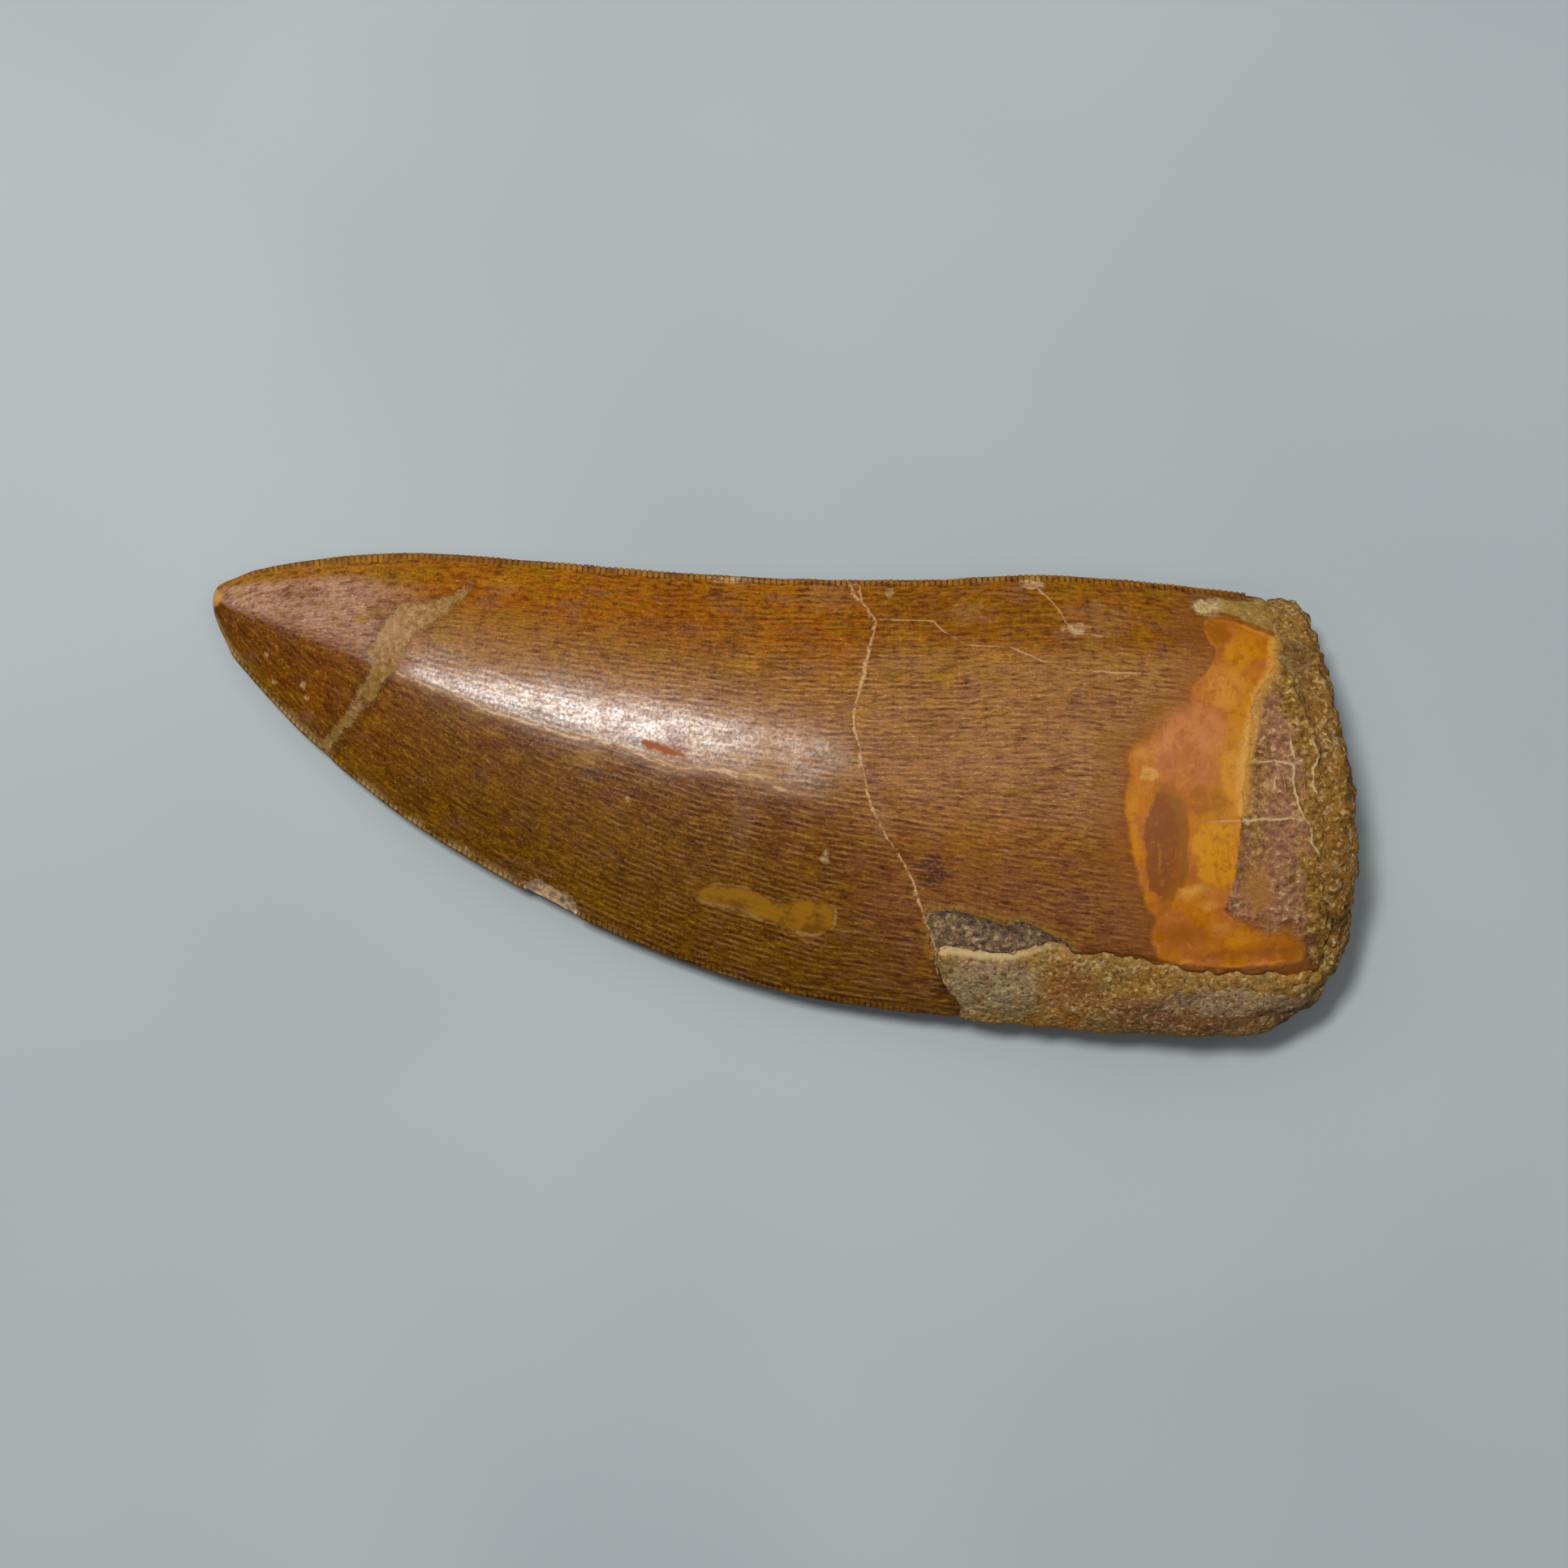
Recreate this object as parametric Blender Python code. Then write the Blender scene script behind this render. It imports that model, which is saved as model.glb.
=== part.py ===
"""Fossil tooth of a large meat-eating dinosaur, lying on its flank, with sandstone on its base.

Metres, +Z up. The tooth is drawn in its own frame: the tip at the origin, +X towards the base,
+Y towards the rear cutting edge and +Z out of the flank that shows. An empty then lays it down.
"""

import math

import bmesh
import bpy
from mathutils import Vector, noise

MM = 0.001

# Driving dimensions ---------------------------------------------------------------------------
# Both cutting edges, as (x, y) in millimetres from the tip, on the plane between the flanks.
REAR_EDGE = (
    (0.0, 0.0), (0.4, 1.3), (1.6, 2.1), (5.2, 3.3), (10.6, 4.3), (17.8, 5.0), (25.0, 5.0), (35.8, 4.2),
    (50.2, 3.0), (64.5, 2.2), (78.9, 2.1), (86.1, 2.5), (93.3, 2.6), (100.5, 2.1), (107.7, 1.4),
    (114.9, 0.5), (119.8, -0.3),
)
FRONT_EDGE = (
    (0.0, 0.0), (0.3, -1.9), (1.6, -4.8), (3.4, -7.4), (10.6, -15.1), (21.4, -24.0), (35.8, -32.6),
    (50.2, -39.1), (64.5, -43.5), (80.7, -45.9), (98.7, -47.8), (111.3, -48.1), (117.2, -47.3),
    (121.2, -45.0), (123.8, -41.4),
)
# Half thickness of each flank along the tooth, as (share of the way to the base, millimetres).
SHOWN_FLANK = (
    (0.0, 0.0), (0.02, 1.0), (0.1, 2.9), (0.2, 4.8), (0.35, 6.9), (0.5, 8.4), (0.7, 9.9), (0.94, 11.1),
    (1.0, 10.5),
)
RESTING_FLANK = (
    (0.0, 0.0), (0.02, 0.8), (0.1, 2.1), (0.2, 3.4), (0.35, 4.9), (0.5, 6.2), (0.7, 7.7), (0.94, 9.1),
    (1.0, 8.4),
)
# Where each flank stands highest, as a share of the way from the rear to the front edge.
SHOWN_CREST = 0.49
RESTING_CREST = 0.54
BASE_BULGE = 2.0 * MM  # how far the broken base swells past the line between its corners
BASE_DOME = 1.4 * MM  # how far the middle of the base stands out past its rim
# The rings that close the base, as (share of the rim's size, share of the dome's height).
BASE_STEPS = ((0.96, 0.35), (0.86, 0.65), (0.7, 0.85), (0.52, 0.95), (0.34, 1.0), (0.16, 1.0))

DENTICLE_PITCH = 0.65 * MM
DENTICLE_HEIGHT = 0.35 * MM
CARINA_THICKNESS = 0.5 * MM  # the blade that the denticles are cut in
CARINA_ROOT = 1.2 * MM  # how deep the blade is set in the tooth
REAR_DENTICLES = (0.035, 0.955)  # the stretch of each edge that has them, as shares of it
FRONT_DENTICLES = (0.05, 0.66)

# Where the tooth ends and sandstone begins, seen from above, in millimetres from the tip.
ROCK_LINE = (
    (85.4, -56.0), (83.4, -45.8), (80.3, -38.7), (82.5, -39.5), (87.0, -39.4), (91.9, -38.2), (96.0, -38.0),
    (102.3, -39.4), (105.9, -40.1), (111.3, -40.7), (116.7, -41.0), (121.0, -40.7), (123.2, -39.2),
    (122.8, -34.2), (122.1, -30.6), (121.2, -27.0), (120.1, -23.4), (119.8, -18.9), (119.4, -12.6),
    (118.5, -5.4), (117.7, -0.9), (117.2, 9.0),
)
ROCK_REACH = 132.0 * MM  # past the base, so that the outline of the rock takes in all of it
ROCK_PROUD = 0.35 * MM  # how far the crust stands above the enamel
ROCK_LUMPS = 0.5 * MM
ROCK_GAP = 0.3 * MM

# Patches where the enamel has come away from the shown flank: outline in millimetres, and depth.
ENAMEL_DEPTH = 0.4 * MM
HOLLOW_DEPTH = 0.7 * MM
AMBER_WINDOW = (
    (109.2, -2.1), (112.0, -2.0), (117.1, -4.7), (116.4, -8.1), (114.2, -12.0), (113.3, -18.2),
    (112.7, -24.8), (112.0, -30.8), (111.0, -34.0), (112.4, -35.0), (115.8, -35.9), (118.6, -36.6),
    (119.8, -37.8), (119.0, -39.3), (110.8, -39.8), (104.6, -39.3), (103.2, -37.4), (103.4, -34.9),
    (101.7, -31.0), (100.0, -22.6), (100.2, -17.5), (104.5, -13.5), (107.9, -9.4), (110.5, -5.6),
)
DARK_HOLLOW = (
    (80.3, -37.7), (79.8, -36.0), (82.5, -34.9), (87.9, -35.2), (92.4, -36.6), (91.9, -37.5), (87.0, -38.8),
    (82.5, -38.9),
)
ENAMEL_CHIP = (
    (53.7, -31.6), (55.5, -31.3), (61.8, -32.4), (67.7, -34.0), (69.0, -36.0), (66.8, -37.0), (62.7, -35.8),
    (55.5, -34.0),
)
EDGE_CHIP = ((31.0, -31.9), (32.4, -29.8), (35.8, -30.7), (39.8, -32.9), (40.4, -36.0))
# The tip was broken off and set back on: the seam is filled with sand.
TIP_SEAM = (
    (29.0, 1.8), (26.4, 0.2), (21.2, -0.4), (18.9, -3.8), (17.9, -5.2), (18.0, -7.0), (15.8, -11.6),
    (12.6, -15.4), (11.0, -18.0), (12.4, -18.6), (15.2, -13.9), (18.6, -10.2), (21.3, -6.6),
    (22.1, -4.5), (23.7, -3.1), (28.7, 1.2),
)

REST_PITCH = math.radians(3.4)  # the tip dips this much when the tooth lies on its flank
REST_FLAT = 0.3 * MM  # how much of the resting flank is worn flat
WEAR_REACH = 100.0 * MM  # half the side of the square cutter that wears it

# Fineness of the solids -----------------------------------------------------------------------
CROWN_RINGS = 44
ROCK_RINGS = 34
FLANK_STEPS = 11
ROCK_FLANK_STEPS = 18


# Curves ---------------------------------------------------------------------------------------
def through(points, t):
    """The point at share t, 0 to 1, of a smooth curve through points, an equal time on each stretch."""
    place = min(max(t, 0.0), 1.0) * (len(points) - 1)
    i = min(int(place), len(points) - 2)
    before, start, end, after = (points[min(max(j, 0), len(points) - 1)] for j in (i - 1, i, i + 1, i + 2))
    u = place - i
    return (
        start * (1 + 2 * u) * (1 - u) ** 2
        + end * u * u * (3 - 2 * u)
        + (end - before) * 0.5 * u * (1 - u) ** 2
        - (after - start) * 0.5 * u * u * (1 - u)
    )


class Edge:
    """A cutting edge as a curve that is walked by length."""

    STEPS = 600

    def __init__(self, points):
        corners = [Vector((x * MM, y * MM)) for x, y in points]
        self.line = [through(corners, i / self.STEPS) for i in range(self.STEPS + 1)]
        self.walked = [0.0]
        for a, b in zip(self.line, self.line[1:]):
            self.walked.append(self.walked[-1] + (b - a).length)
        self.length = self.walked[-1]

    def at(self, share):
        goal = min(max(share, 0.0), 1.0) * self.length
        low, high = 0, self.STEPS
        while high - low > 1:
            middle = (low + high) // 2
            low, high = (middle, high) if self.walked[middle] <= goal else (low, middle)
        stretch = self.walked[high] - self.walked[low]
        return self.line[low].lerp(self.line[high], (goal - self.walked[low]) / stretch)

    def outward(self, share, side):
        """Unit normal in the plane: side is +1 to the left of the way from tip to base."""
        ahead = self.at(share + 0.002) - self.at(share - 0.002)
        return Vector((-ahead.y, ahead.x)).normalized() * side


REAR, FRONT = Edge(REAR_EDGE), Edge(FRONT_EDGE)


def stepped(table, share):
    """A smooth value read from (share, millimetres) pairs, in metres."""
    for (a, low), (b, high) in zip(table, table[1:]):
        if share <= b:
            break
    i = table.index((a, low))
    before = table[max(i - 1, 0)]
    after = table[min(i + 2, len(table) - 1)]
    slope_in = (high - before[1]) / (b - before[0])
    slope_out = (after[1] - low) / (after[0] - a)
    width = b - a
    u = (share - a) / width
    value = (
        low * (1 + 2 * u) * (1 - u) ** 2
        + high * u * u * (3 - 2 * u)
        + slope_in * width * u * (1 - u) ** 2
        - slope_out * width * u * u * (1 - u)
    )
    return value * MM


def smooth(value, low, high):
    t = min(max((value - low) / (high - low), 0.0), 1.0)
    return t * t * (3 - 2 * t)


# The form of the tooth ------------------------------------------------------------------------
def swell(along, across, crest):
    """Share of the half thickness: a lens, drawn in beside the rear edge and ridged near the tip."""
    to_rear = across < crest
    off_crest = (crest - across) / crest if to_rear else (across - crest) / (1 - crest)
    # The crest is sharp towards the tip. Its front side stays sharp until the blade meets the base.
    if to_rear:
        flatness = 1.35 + 0.95 * smooth(along, 0.05, 0.5)
    else:
        flatness = 1.35 + 0.35 * smooth(along, 0.05, 0.4) + 0.6 * smooth(along, 0.5, 0.7)
    # Towards the base both edges lose their blade and grow round, the front one the most.
    pinch = 1.12 - 0.3 * smooth(along, 0.7, 1.0) if to_rear else 0.92 - 0.34 * smooth(along, 0.55, 0.95)
    return max(1 - off_crest**flatness, 0.0) ** pinch


def flank_point(along, across, side, extra=0.0):
    """A point of the outer form. side is +1 on the shown flank and -1 on the resting one."""
    rear, front = REAR.at(along), FRONT.at(along)
    place = rear.lerp(front, across)
    place.x += BASE_BULGE * math.sin(math.pi * across**1.05) * smooth(along, 0.7, 1.0)
    table, crest = (SHOWN_FLANK, SHOWN_CREST) if side > 0 else (RESTING_FLANK, RESTING_CREST)
    height = (stepped(table, along) + extra) * swell(along, across, crest)
    # Extra thickness also moves the edges out, away from the middle of the rib.
    spread = (across - 0.5) * 2 * extra
    place += (front - rear).normalized() * spread
    return Vector((place.x, place.y, side * height))


def loft(name, first, rings, flank_steps, extra=0.0, lumps=0.0):
    """The outer form from share first to the base, as a closed mesh of rings with a domed end."""
    bm = bmesh.new()
    loops = []
    for i in range(rings + 1):
        share = i / rings
        along = first + (1 - first) * (share * share if first == 0 else share)
        along = max(along, 0.006)
        walk = [(0.5 - 0.5 * math.cos(math.pi * j / flank_steps), 1) for j in range(flank_steps + 1)]
        walk += [(across, -1) for across, _ in reversed(walk[1:-1])]
        loops.append([bm.verts.new(flank_point(along, across, side, extra)) for across, side in walk])
    rim = [v.co.copy() for v in loops[-1]]
    middle = sum(rim, Vector()) / len(rim)
    for shrink, out in BASE_STEPS:
        inner = [middle.lerp(p, shrink) + Vector((BASE_DOME * out + extra, 0, 0)) for p in rim]
        loops.append([bm.verts.new(p) for p in inner])
    for a, b in zip(loops, loops[1:]):
        for j in range(len(a)):
            k = (j + 1) % len(a)
            bm.faces.new((a[j], a[k], b[k], b[j]))
    bm.faces.new(reversed(loops[0]))
    bm.faces.new(loops[-1])
    bmesh.ops.recalc_face_normals(bm, faces=bm.faces)
    if lumps:
        for vert in bm.verts:
            on_base = smooth(vert.co.x, 118 * MM, 124 * MM)
            coarse = noise.noise(vert.co / (5 * MM)) * (1 + on_base)
            fine = noise.noise(vert.co / (2.2 * MM)) * 0.6 * (1 - on_base)
            vert.co += vert.normal.lerp(Vector((1, 0, 0)), on_base) * lumps * (coarse + fine)
    return mesh_object(name, bm)


# Objects --------------------------------------------------------------------------------------
def mesh_object(name, bm):
    mesh = bpy.data.meshes.new(name)
    bm.to_mesh(mesh)
    bm.free()
    return bpy.data.objects.new(name, mesh)


def plate(name, outline, low, high):
    """A flat plate of that outline, between two heights, as a closed mesh."""
    data = bpy.data.curves.new(name, "CURVE")
    data.dimensions = "2D"
    data.fill_mode = "BOTH"
    data.extrude = (high - low) / 2
    line = data.splines.new("POLY")
    line.points.add(len(outline) - 1)
    for point, place in zip(line.points, outline):
        point.co = (place.x, place.y, 0, 1)
    line.use_cyclic_u = True
    curve = bpy.data.objects.new(name, data)
    bpy.context.scene.collection.objects.link(curve)
    evaluated = curve.evaluated_get(bpy.context.evaluated_depsgraph_get())
    mesh = bpy.data.meshes.new_from_object(evaluated)
    bpy.data.objects.remove(curve)
    bm = bmesh.new()
    bm.from_mesh(mesh)
    bpy.data.meshes.remove(mesh)
    bmesh.ops.remove_doubles(bm, verts=bm.verts, dist=0.00001)
    bmesh.ops.translate(bm, verts=bm.verts, vec=(0, 0, (low + high) / 2))
    bmesh.ops.recalc_face_normals(bm, faces=bm.faces)
    return mesh_object(name, bm)


def as_cutter(obj, collection, parent=None):
    obj.hide_render = True
    obj.display_type = "WIRE"
    obj.parent = parent
    collection.objects.link(obj)
    return obj


def combine(obj, other, operation):
    modifier = obj.modifiers.new(f"{operation.lower()} {other.name}", "BOOLEAN")
    modifier.operation = operation
    modifier.object = other
    modifier.solver = "EXACT"


def stone(name, colour, roughness):
    material = bpy.data.materials.new(name)
    material.use_nodes = True
    shader = material.node_tree.nodes["Principled BSDF"]
    shader.inputs["Base Color"].default_value = (*colour, 1)
    shader.inputs["Roughness"].default_value = roughness
    return material


# Pieces ---------------------------------------------------------------------------------------
def serration(edge, side, stretch):
    """Outline of a thin blade along a cutting edge, with a saw tooth for each denticle."""
    first, last = stretch
    count = round((last - first) * edge.length / DENTICLE_PITCH)
    saw, root = [], []
    for i in range(2 * count + 1):
        share = first + (last - first) * i / (2 * count)
        out = DENTICLE_HEIGHT if i % 2 else 0.0
        saw.append(edge.at(share) + edge.outward(share, side) * out)
        if i % 12 == 0:
            root.append(edge.at(share) - edge.outward(share, side) * CARINA_ROOT)
    return saw + root[::-1]


def rock_outline(inset):
    """Seen from above, all that is sandstone and not tooth, drawn back from the tooth by inset."""
    line = [Vector((x * MM, y * MM)) for x, y in ROCK_LINE]
    ways = [(b - a).normalized() for a, b in zip(line, line[1:])]
    moved = []
    for place, way_in, way_out in zip(line, ways[:1] + ways, ways + ways[-1:]):
        into, out_of = Vector((way_in.y, -way_in.x)), Vector((way_out.y, -way_out.x))
        moved.append(place + (into + out_of) * (inset / (1 + into.dot(out_of))))
    return moved + [Vector((ROCK_REACH, line[-1].y)), Vector((ROCK_REACH, line[0].y))]


def lost_enamel(name, outline, depth, cutters, lying):
    """A cutter for a patch of the shown flank, as deep as depth all over."""
    flat = [Vector((x * MM, y * MM)) for x, y in outline]
    patch = as_cutter(plate(name, flat, 0.5 * MM, 25 * MM), cutters, lying)
    kept = loft(f"{name}_floor", 0, CROWN_RINGS, FLANK_STEPS, extra=-depth)
    combine(patch, as_cutter(kept, cutters, lying), "DIFFERENCE")
    return patch


def make_tooth(cutters, lying):
    tooth = loft("tooth", 0, CROWN_RINGS, FLANK_STEPS)
    half = CARINA_THICKNESS / 2
    rear = plate("rear_denticles", serration(REAR, 1, REAR_DENTICLES), -half, half)
    front = plate("front_denticles", serration(FRONT, -1, FRONT_DENTICLES), -half, half)
    for blade in (rear, front):
        combine(tooth, as_cutter(blade, cutters, lying), "UNION")
    for name, outline, depth in (
        ("amber_window", AMBER_WINDOW, ENAMEL_DEPTH),
        ("enamel_chip", ENAMEL_CHIP, ENAMEL_DEPTH),
        ("tip_seam", TIP_SEAM, ENAMEL_DEPTH),
        ("dark_hollow", DARK_HOLLOW, HOLLOW_DEPTH),
        ("edge_chip", EDGE_CHIP, HOLLOW_DEPTH),
    ):
        combine(tooth, lost_enamel(name, outline, depth, cutters, lying), "DIFFERENCE")
    socket = plate("rock_socket", rock_outline(0), -25 * MM, 25 * MM)
    combine(tooth, as_cutter(socket, cutters, lying), "DIFFERENCE")
    tooth.data.materials.append(stone("brown enamel", (0.25, 0.11, 0.03), 0.35))
    return tooth


def make_rock(cutters, lying):
    rock = loft("sandstone_matrix", 0.55, ROCK_RINGS, ROCK_FLANK_STEPS, ROCK_PROUD, ROCK_LUMPS)
    keep = plate("rock_keep", rock_outline(ROCK_GAP), -25 * MM, 25 * MM)
    combine(rock, as_cutter(keep, cutters, lying), "INTERSECT")
    rock.data.materials.append(stone("olive sandstone", (0.21, 0.12, 0.045), 0.9))
    return rock


def middle_and_lowest(objects):
    """(middle x, middle y, lowest z) of the objects as the viewport evaluates them."""
    bpy.context.view_layer.update()
    graph = bpy.context.evaluated_depsgraph_get()
    corners = []
    for obj in objects:
        evaluated = obj.evaluated_get(graph)
        mesh = evaluated.to_mesh()
        corners += [evaluated.matrix_world @ v.co for v in mesh.vertices]
        evaluated.to_mesh_clear()
    xs, ys, zs = zip(*corners)
    return (min(xs) + max(xs)) / 2, (min(ys) + max(ys)) / 2, min(zs)


def main():
    for obj in list(bpy.data.objects):
        bpy.data.objects.remove(obj)
    parts = bpy.data.collections.new("fossil tooth")
    cutters = bpy.data.collections.new("cutters")
    for collection in (parts, cutters):
        bpy.context.scene.collection.children.link(collection)

    lying = bpy.data.objects.new("lying_down", None)
    lying.rotation_euler = (0, -REST_PITCH, 0)
    parts.objects.link(lying)
    pieces = [make_tooth(cutters, lying), make_rock(cutters, lying)]
    for piece in pieces:
        piece.parent = lying
        parts.objects.link(piece)

    x, y, _ = middle_and_lowest(pieces)
    lowest = middle_and_lowest(pieces[:1])[2]
    lying.location = (-x, -y, -lowest - REST_FLAT)
    square = [Vector((x * WEAR_REACH, y * WEAR_REACH)) for x, y in ((-1, -1), (1, -1), (1, 1), (-1, 1))]
    wear = plate("resting_wear", square, -5 * MM, 0)
    as_cutter(wear, cutters)
    for piece in pieces:
        combine(piece, wear, "DIFFERENCE")
        piece.data.shade_smooth()
        piece.data.set_sharp_from_angle(angle=math.radians(35))


main()
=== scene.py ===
# %% [markdown]
# # A fossil dinosaur tooth
#
# The blade of a large meat-eating dinosaur's tooth: brown enamel with fine lines along it, a row of
# tiny serrations on each cutting edge, amber dentine where the enamel has come away, and sandstone
# still cemented to the broken base. It lies on one flank and the camera looks down on the other.
#
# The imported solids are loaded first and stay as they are. Each new piece takes its place from them.

import math

import bmesh
import bpy
import numpy as np
from mathutils import Matrix, Vector, noise


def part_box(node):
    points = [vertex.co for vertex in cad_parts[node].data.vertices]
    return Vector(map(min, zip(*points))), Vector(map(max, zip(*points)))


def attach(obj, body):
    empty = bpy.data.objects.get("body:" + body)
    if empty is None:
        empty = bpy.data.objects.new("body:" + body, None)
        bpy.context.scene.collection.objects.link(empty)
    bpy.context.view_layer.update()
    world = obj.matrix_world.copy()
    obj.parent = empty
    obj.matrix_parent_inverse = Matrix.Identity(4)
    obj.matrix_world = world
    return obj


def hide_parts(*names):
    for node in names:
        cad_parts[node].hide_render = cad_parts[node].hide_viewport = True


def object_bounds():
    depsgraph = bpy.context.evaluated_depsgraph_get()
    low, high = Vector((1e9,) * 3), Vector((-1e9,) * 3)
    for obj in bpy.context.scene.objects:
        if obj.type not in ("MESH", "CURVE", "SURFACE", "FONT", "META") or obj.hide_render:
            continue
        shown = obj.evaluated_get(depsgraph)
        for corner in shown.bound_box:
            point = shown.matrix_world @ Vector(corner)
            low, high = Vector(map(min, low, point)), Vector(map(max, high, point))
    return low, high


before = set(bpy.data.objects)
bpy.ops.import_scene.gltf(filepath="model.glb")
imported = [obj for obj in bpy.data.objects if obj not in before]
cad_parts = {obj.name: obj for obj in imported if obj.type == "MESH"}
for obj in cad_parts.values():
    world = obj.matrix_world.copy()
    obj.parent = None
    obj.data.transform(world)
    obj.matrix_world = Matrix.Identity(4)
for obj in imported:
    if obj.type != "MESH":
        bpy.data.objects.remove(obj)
cad_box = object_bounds()
MM = 0.001
print("nodes:", sorted(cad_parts))
print("box in mm:", [[round(v / MM, 1) for v in corner] for corner in cad_box])

# %% [markdown]
# ## The two cutting edges
#
# The tooth is a blade, so its outline is two curves from the tip to the base: a rear edge that is
# nearly straight and a front edge that sweeps round. A few points that the shape needs, joined by
# a smooth curve, keep both fair. They are walked by length, so that a rib can join any two matching
# places. All of this is in the tooth's own frame, in millimetres: the tip is the origin, +X runs to
# the base, +Y to the rear edge and +Z out of the flank that shows.

# %% Edge curves
REAR_EDGE = (
    (0.0, 0.0), (0.4, 1.3), (1.6, 2.1), (5.2, 3.3), (10.6, 4.3), (17.8, 5.0), (25.0, 5.0), (35.8, 4.2),
    (50.2, 3.0), (64.5, 2.2), (78.9, 2.1), (86.1, 2.5), (93.3, 2.6), (100.5, 2.1), (107.7, 1.4),
    (114.9, 0.5), (119.8, -0.3),
)
FRONT_EDGE = (
    (0.0, 0.0), (0.3, -1.9), (1.6, -4.8), (3.4, -7.4), (10.6, -15.1), (21.4, -24.0), (35.8, -32.6),
    (50.2, -39.1), (64.5, -43.5), (80.7, -45.9), (98.7, -47.8), (111.3, -48.1), (117.2, -47.3),
    (121.2, -45.0), (123.8, -41.4),
)


def smooth_line(corners, places=1500):
    """A smooth curve through corners, as that many points an even distance apart."""
    corners = np.array(corners, float)
    time = np.linspace(0, len(corners) - 1, places * 2)
    start = np.minimum(time.astype(int), len(corners) - 2)
    u = (time - start)[:, None]
    before, a, b, after = (corners[np.clip(start + k, 0, len(corners) - 1)] for k in (-1, 0, 1, 2))
    line = a * (1 + 2 * u) * (1 - u) ** 2 + b * u * u * (3 - 2 * u)
    line += (b - before) * 0.5 * u * (1 - u) ** 2 - (after - a) * 0.5 * u * u * (1 - u)
    walked = np.append(0, np.cumsum(np.linalg.norm(np.diff(line, axis=0), axis=1)))
    even = np.linspace(0, walked[-1], places)
    return np.stack([np.interp(even, walked, line[:, axis]) for axis in (0, 1)], axis=1)


def read(line, share):
    """The places on a smooth line at shares, 0 to 1, of its length."""
    shares = np.linspace(0, 1, len(line))
    return np.stack([np.interp(share, shares, line[:, axis]) for axis in (0, 1)], axis=-1)


def length_of(line):
    return np.linalg.norm(np.diff(line, axis=0), axis=1).sum()


rear_line, front_line = smooth_line(REAR_EDGE), smooth_line(FRONT_EDGE)
print("rear edge", round(length_of(rear_line)), "mm, front edge", round(length_of(front_line)), "mm")

# %% [markdown]
# ## The form between the edges
#
# Each cross-section is a lens: thin at both edges and highest near the middle. It is more angular
# towards the tip, a little hollow beside the rear edge, and rounder where the blade meets the base.
# One function gives a point of the surface from its share of the way along, its share of the way
# across, and how much it is raised. The same function then makes the crown, the sandstone and every
# place where something is sunk below the surface, so all of them fit one another.

# %% Sections
SHOWN_FLANK = (
    (0.0, 0.0), (0.02, 1.0), (0.1, 2.9), (0.2, 4.8), (0.35, 6.9), (0.5, 8.4), (0.7, 9.9), (0.94, 11.1),
    (1.0, 10.5),
)
RESTING_FLANK = (
    (0.0, 0.0), (0.02, 0.8), (0.1, 2.1), (0.2, 3.4), (0.35, 4.9), (0.5, 6.2), (0.7, 7.7), (0.94, 9.1),
    (1.0, 8.4),
)
SHOWN_CREST = 0.49
RESTING_CREST = 0.54
BASE_BULGE = 2.0
BASE_DOME = 1.4
shown_half, resting_half = smooth_line(SHOWN_FLANK), smooth_line(RESTING_FLANK)


def smooth(value, low, high):
    """0 below low, 1 above high, and an even slope between."""
    t = np.clip((value - low) / (high - low), 0, 1)
    return t * t * (3 - 2 * t)


def swell(along, across, crest):
    """Share of the half thickness at a place on a flank."""
    to_rear = across < crest
    off_crest = np.where(to_rear, (crest - across) / crest, (across - crest) / (1 - crest))
    rear_flatness = 1.35 + 0.95 * smooth(along, 0.05, 0.5)
    front_flatness = 1.35 + 0.35 * smooth(along, 0.05, 0.4) + 0.6 * smooth(along, 0.5, 0.7)
    flatness = np.where(to_rear, rear_flatness, front_flatness)
    rear_pinch = 1.12 - 0.3 * smooth(along, 0.7, 1.0)
    front_pinch = 0.92 - 0.34 * smooth(along, 0.55, 0.95)
    return np.maximum(1 - off_crest**flatness, 0) ** np.where(to_rear, rear_pinch, front_pinch)


def form(along, across, shown, raised=0.0):
    """Points of the tooth's surface in millimetres. shown is True on the flank that shows."""
    rear, front = read(rear_line, along), read(front_line, along)
    span = front - rear
    plan = rear + span * across[:, None]
    plan[:, 0] += BASE_BULGE * np.sin(math.pi * across**1.05) * smooth(along, 0.7, 1.0)
    way = span / np.maximum(np.linalg.norm(span, axis=1), 0.01)[:, None]
    plan += way * ((across - 0.5) * 2 * raised)[:, None]
    thickness = np.where(
        shown,
        np.interp(along, shown_half[:, 0], shown_half[:, 1]),
        np.interp(along, resting_half[:, 0], resting_half[:, 1]),
    )
    crest = np.where(shown, SHOWN_CREST, RESTING_CREST)
    height = np.maximum(thickness + raised, 0) * swell(along, across, crest)
    return np.column_stack([plan, np.where(shown, height, -height)])


middle_rib = form(np.full(3, 0.6), np.array([0.25, 0.49, 0.75]), np.array([True, True, True]))
print("height of the shown flank across the middle:", middle_rib[:, 2].round(1), "mm")

# %% [markdown]
# ## Closed skins over the form
#
# A flat grid has the same two directions as this form: round the section and along the tooth. Rolled
# up, with its first and last columns welded and each end row drawn into one point, it is a closed
# skin: one end becomes the tip and the other the middle of the base. The rows are packed close where
# cracks and broken edges need them, and the flank that shows gets two thirds of the columns. Moving
# the points of a welded grid keeps the skin free of gaps, which a loft made rib by rib wouldn't.

# %% Skins
SHOWN_SHARE = 2 / 3
GRID_RIM = 1 - 1e-6


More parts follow.
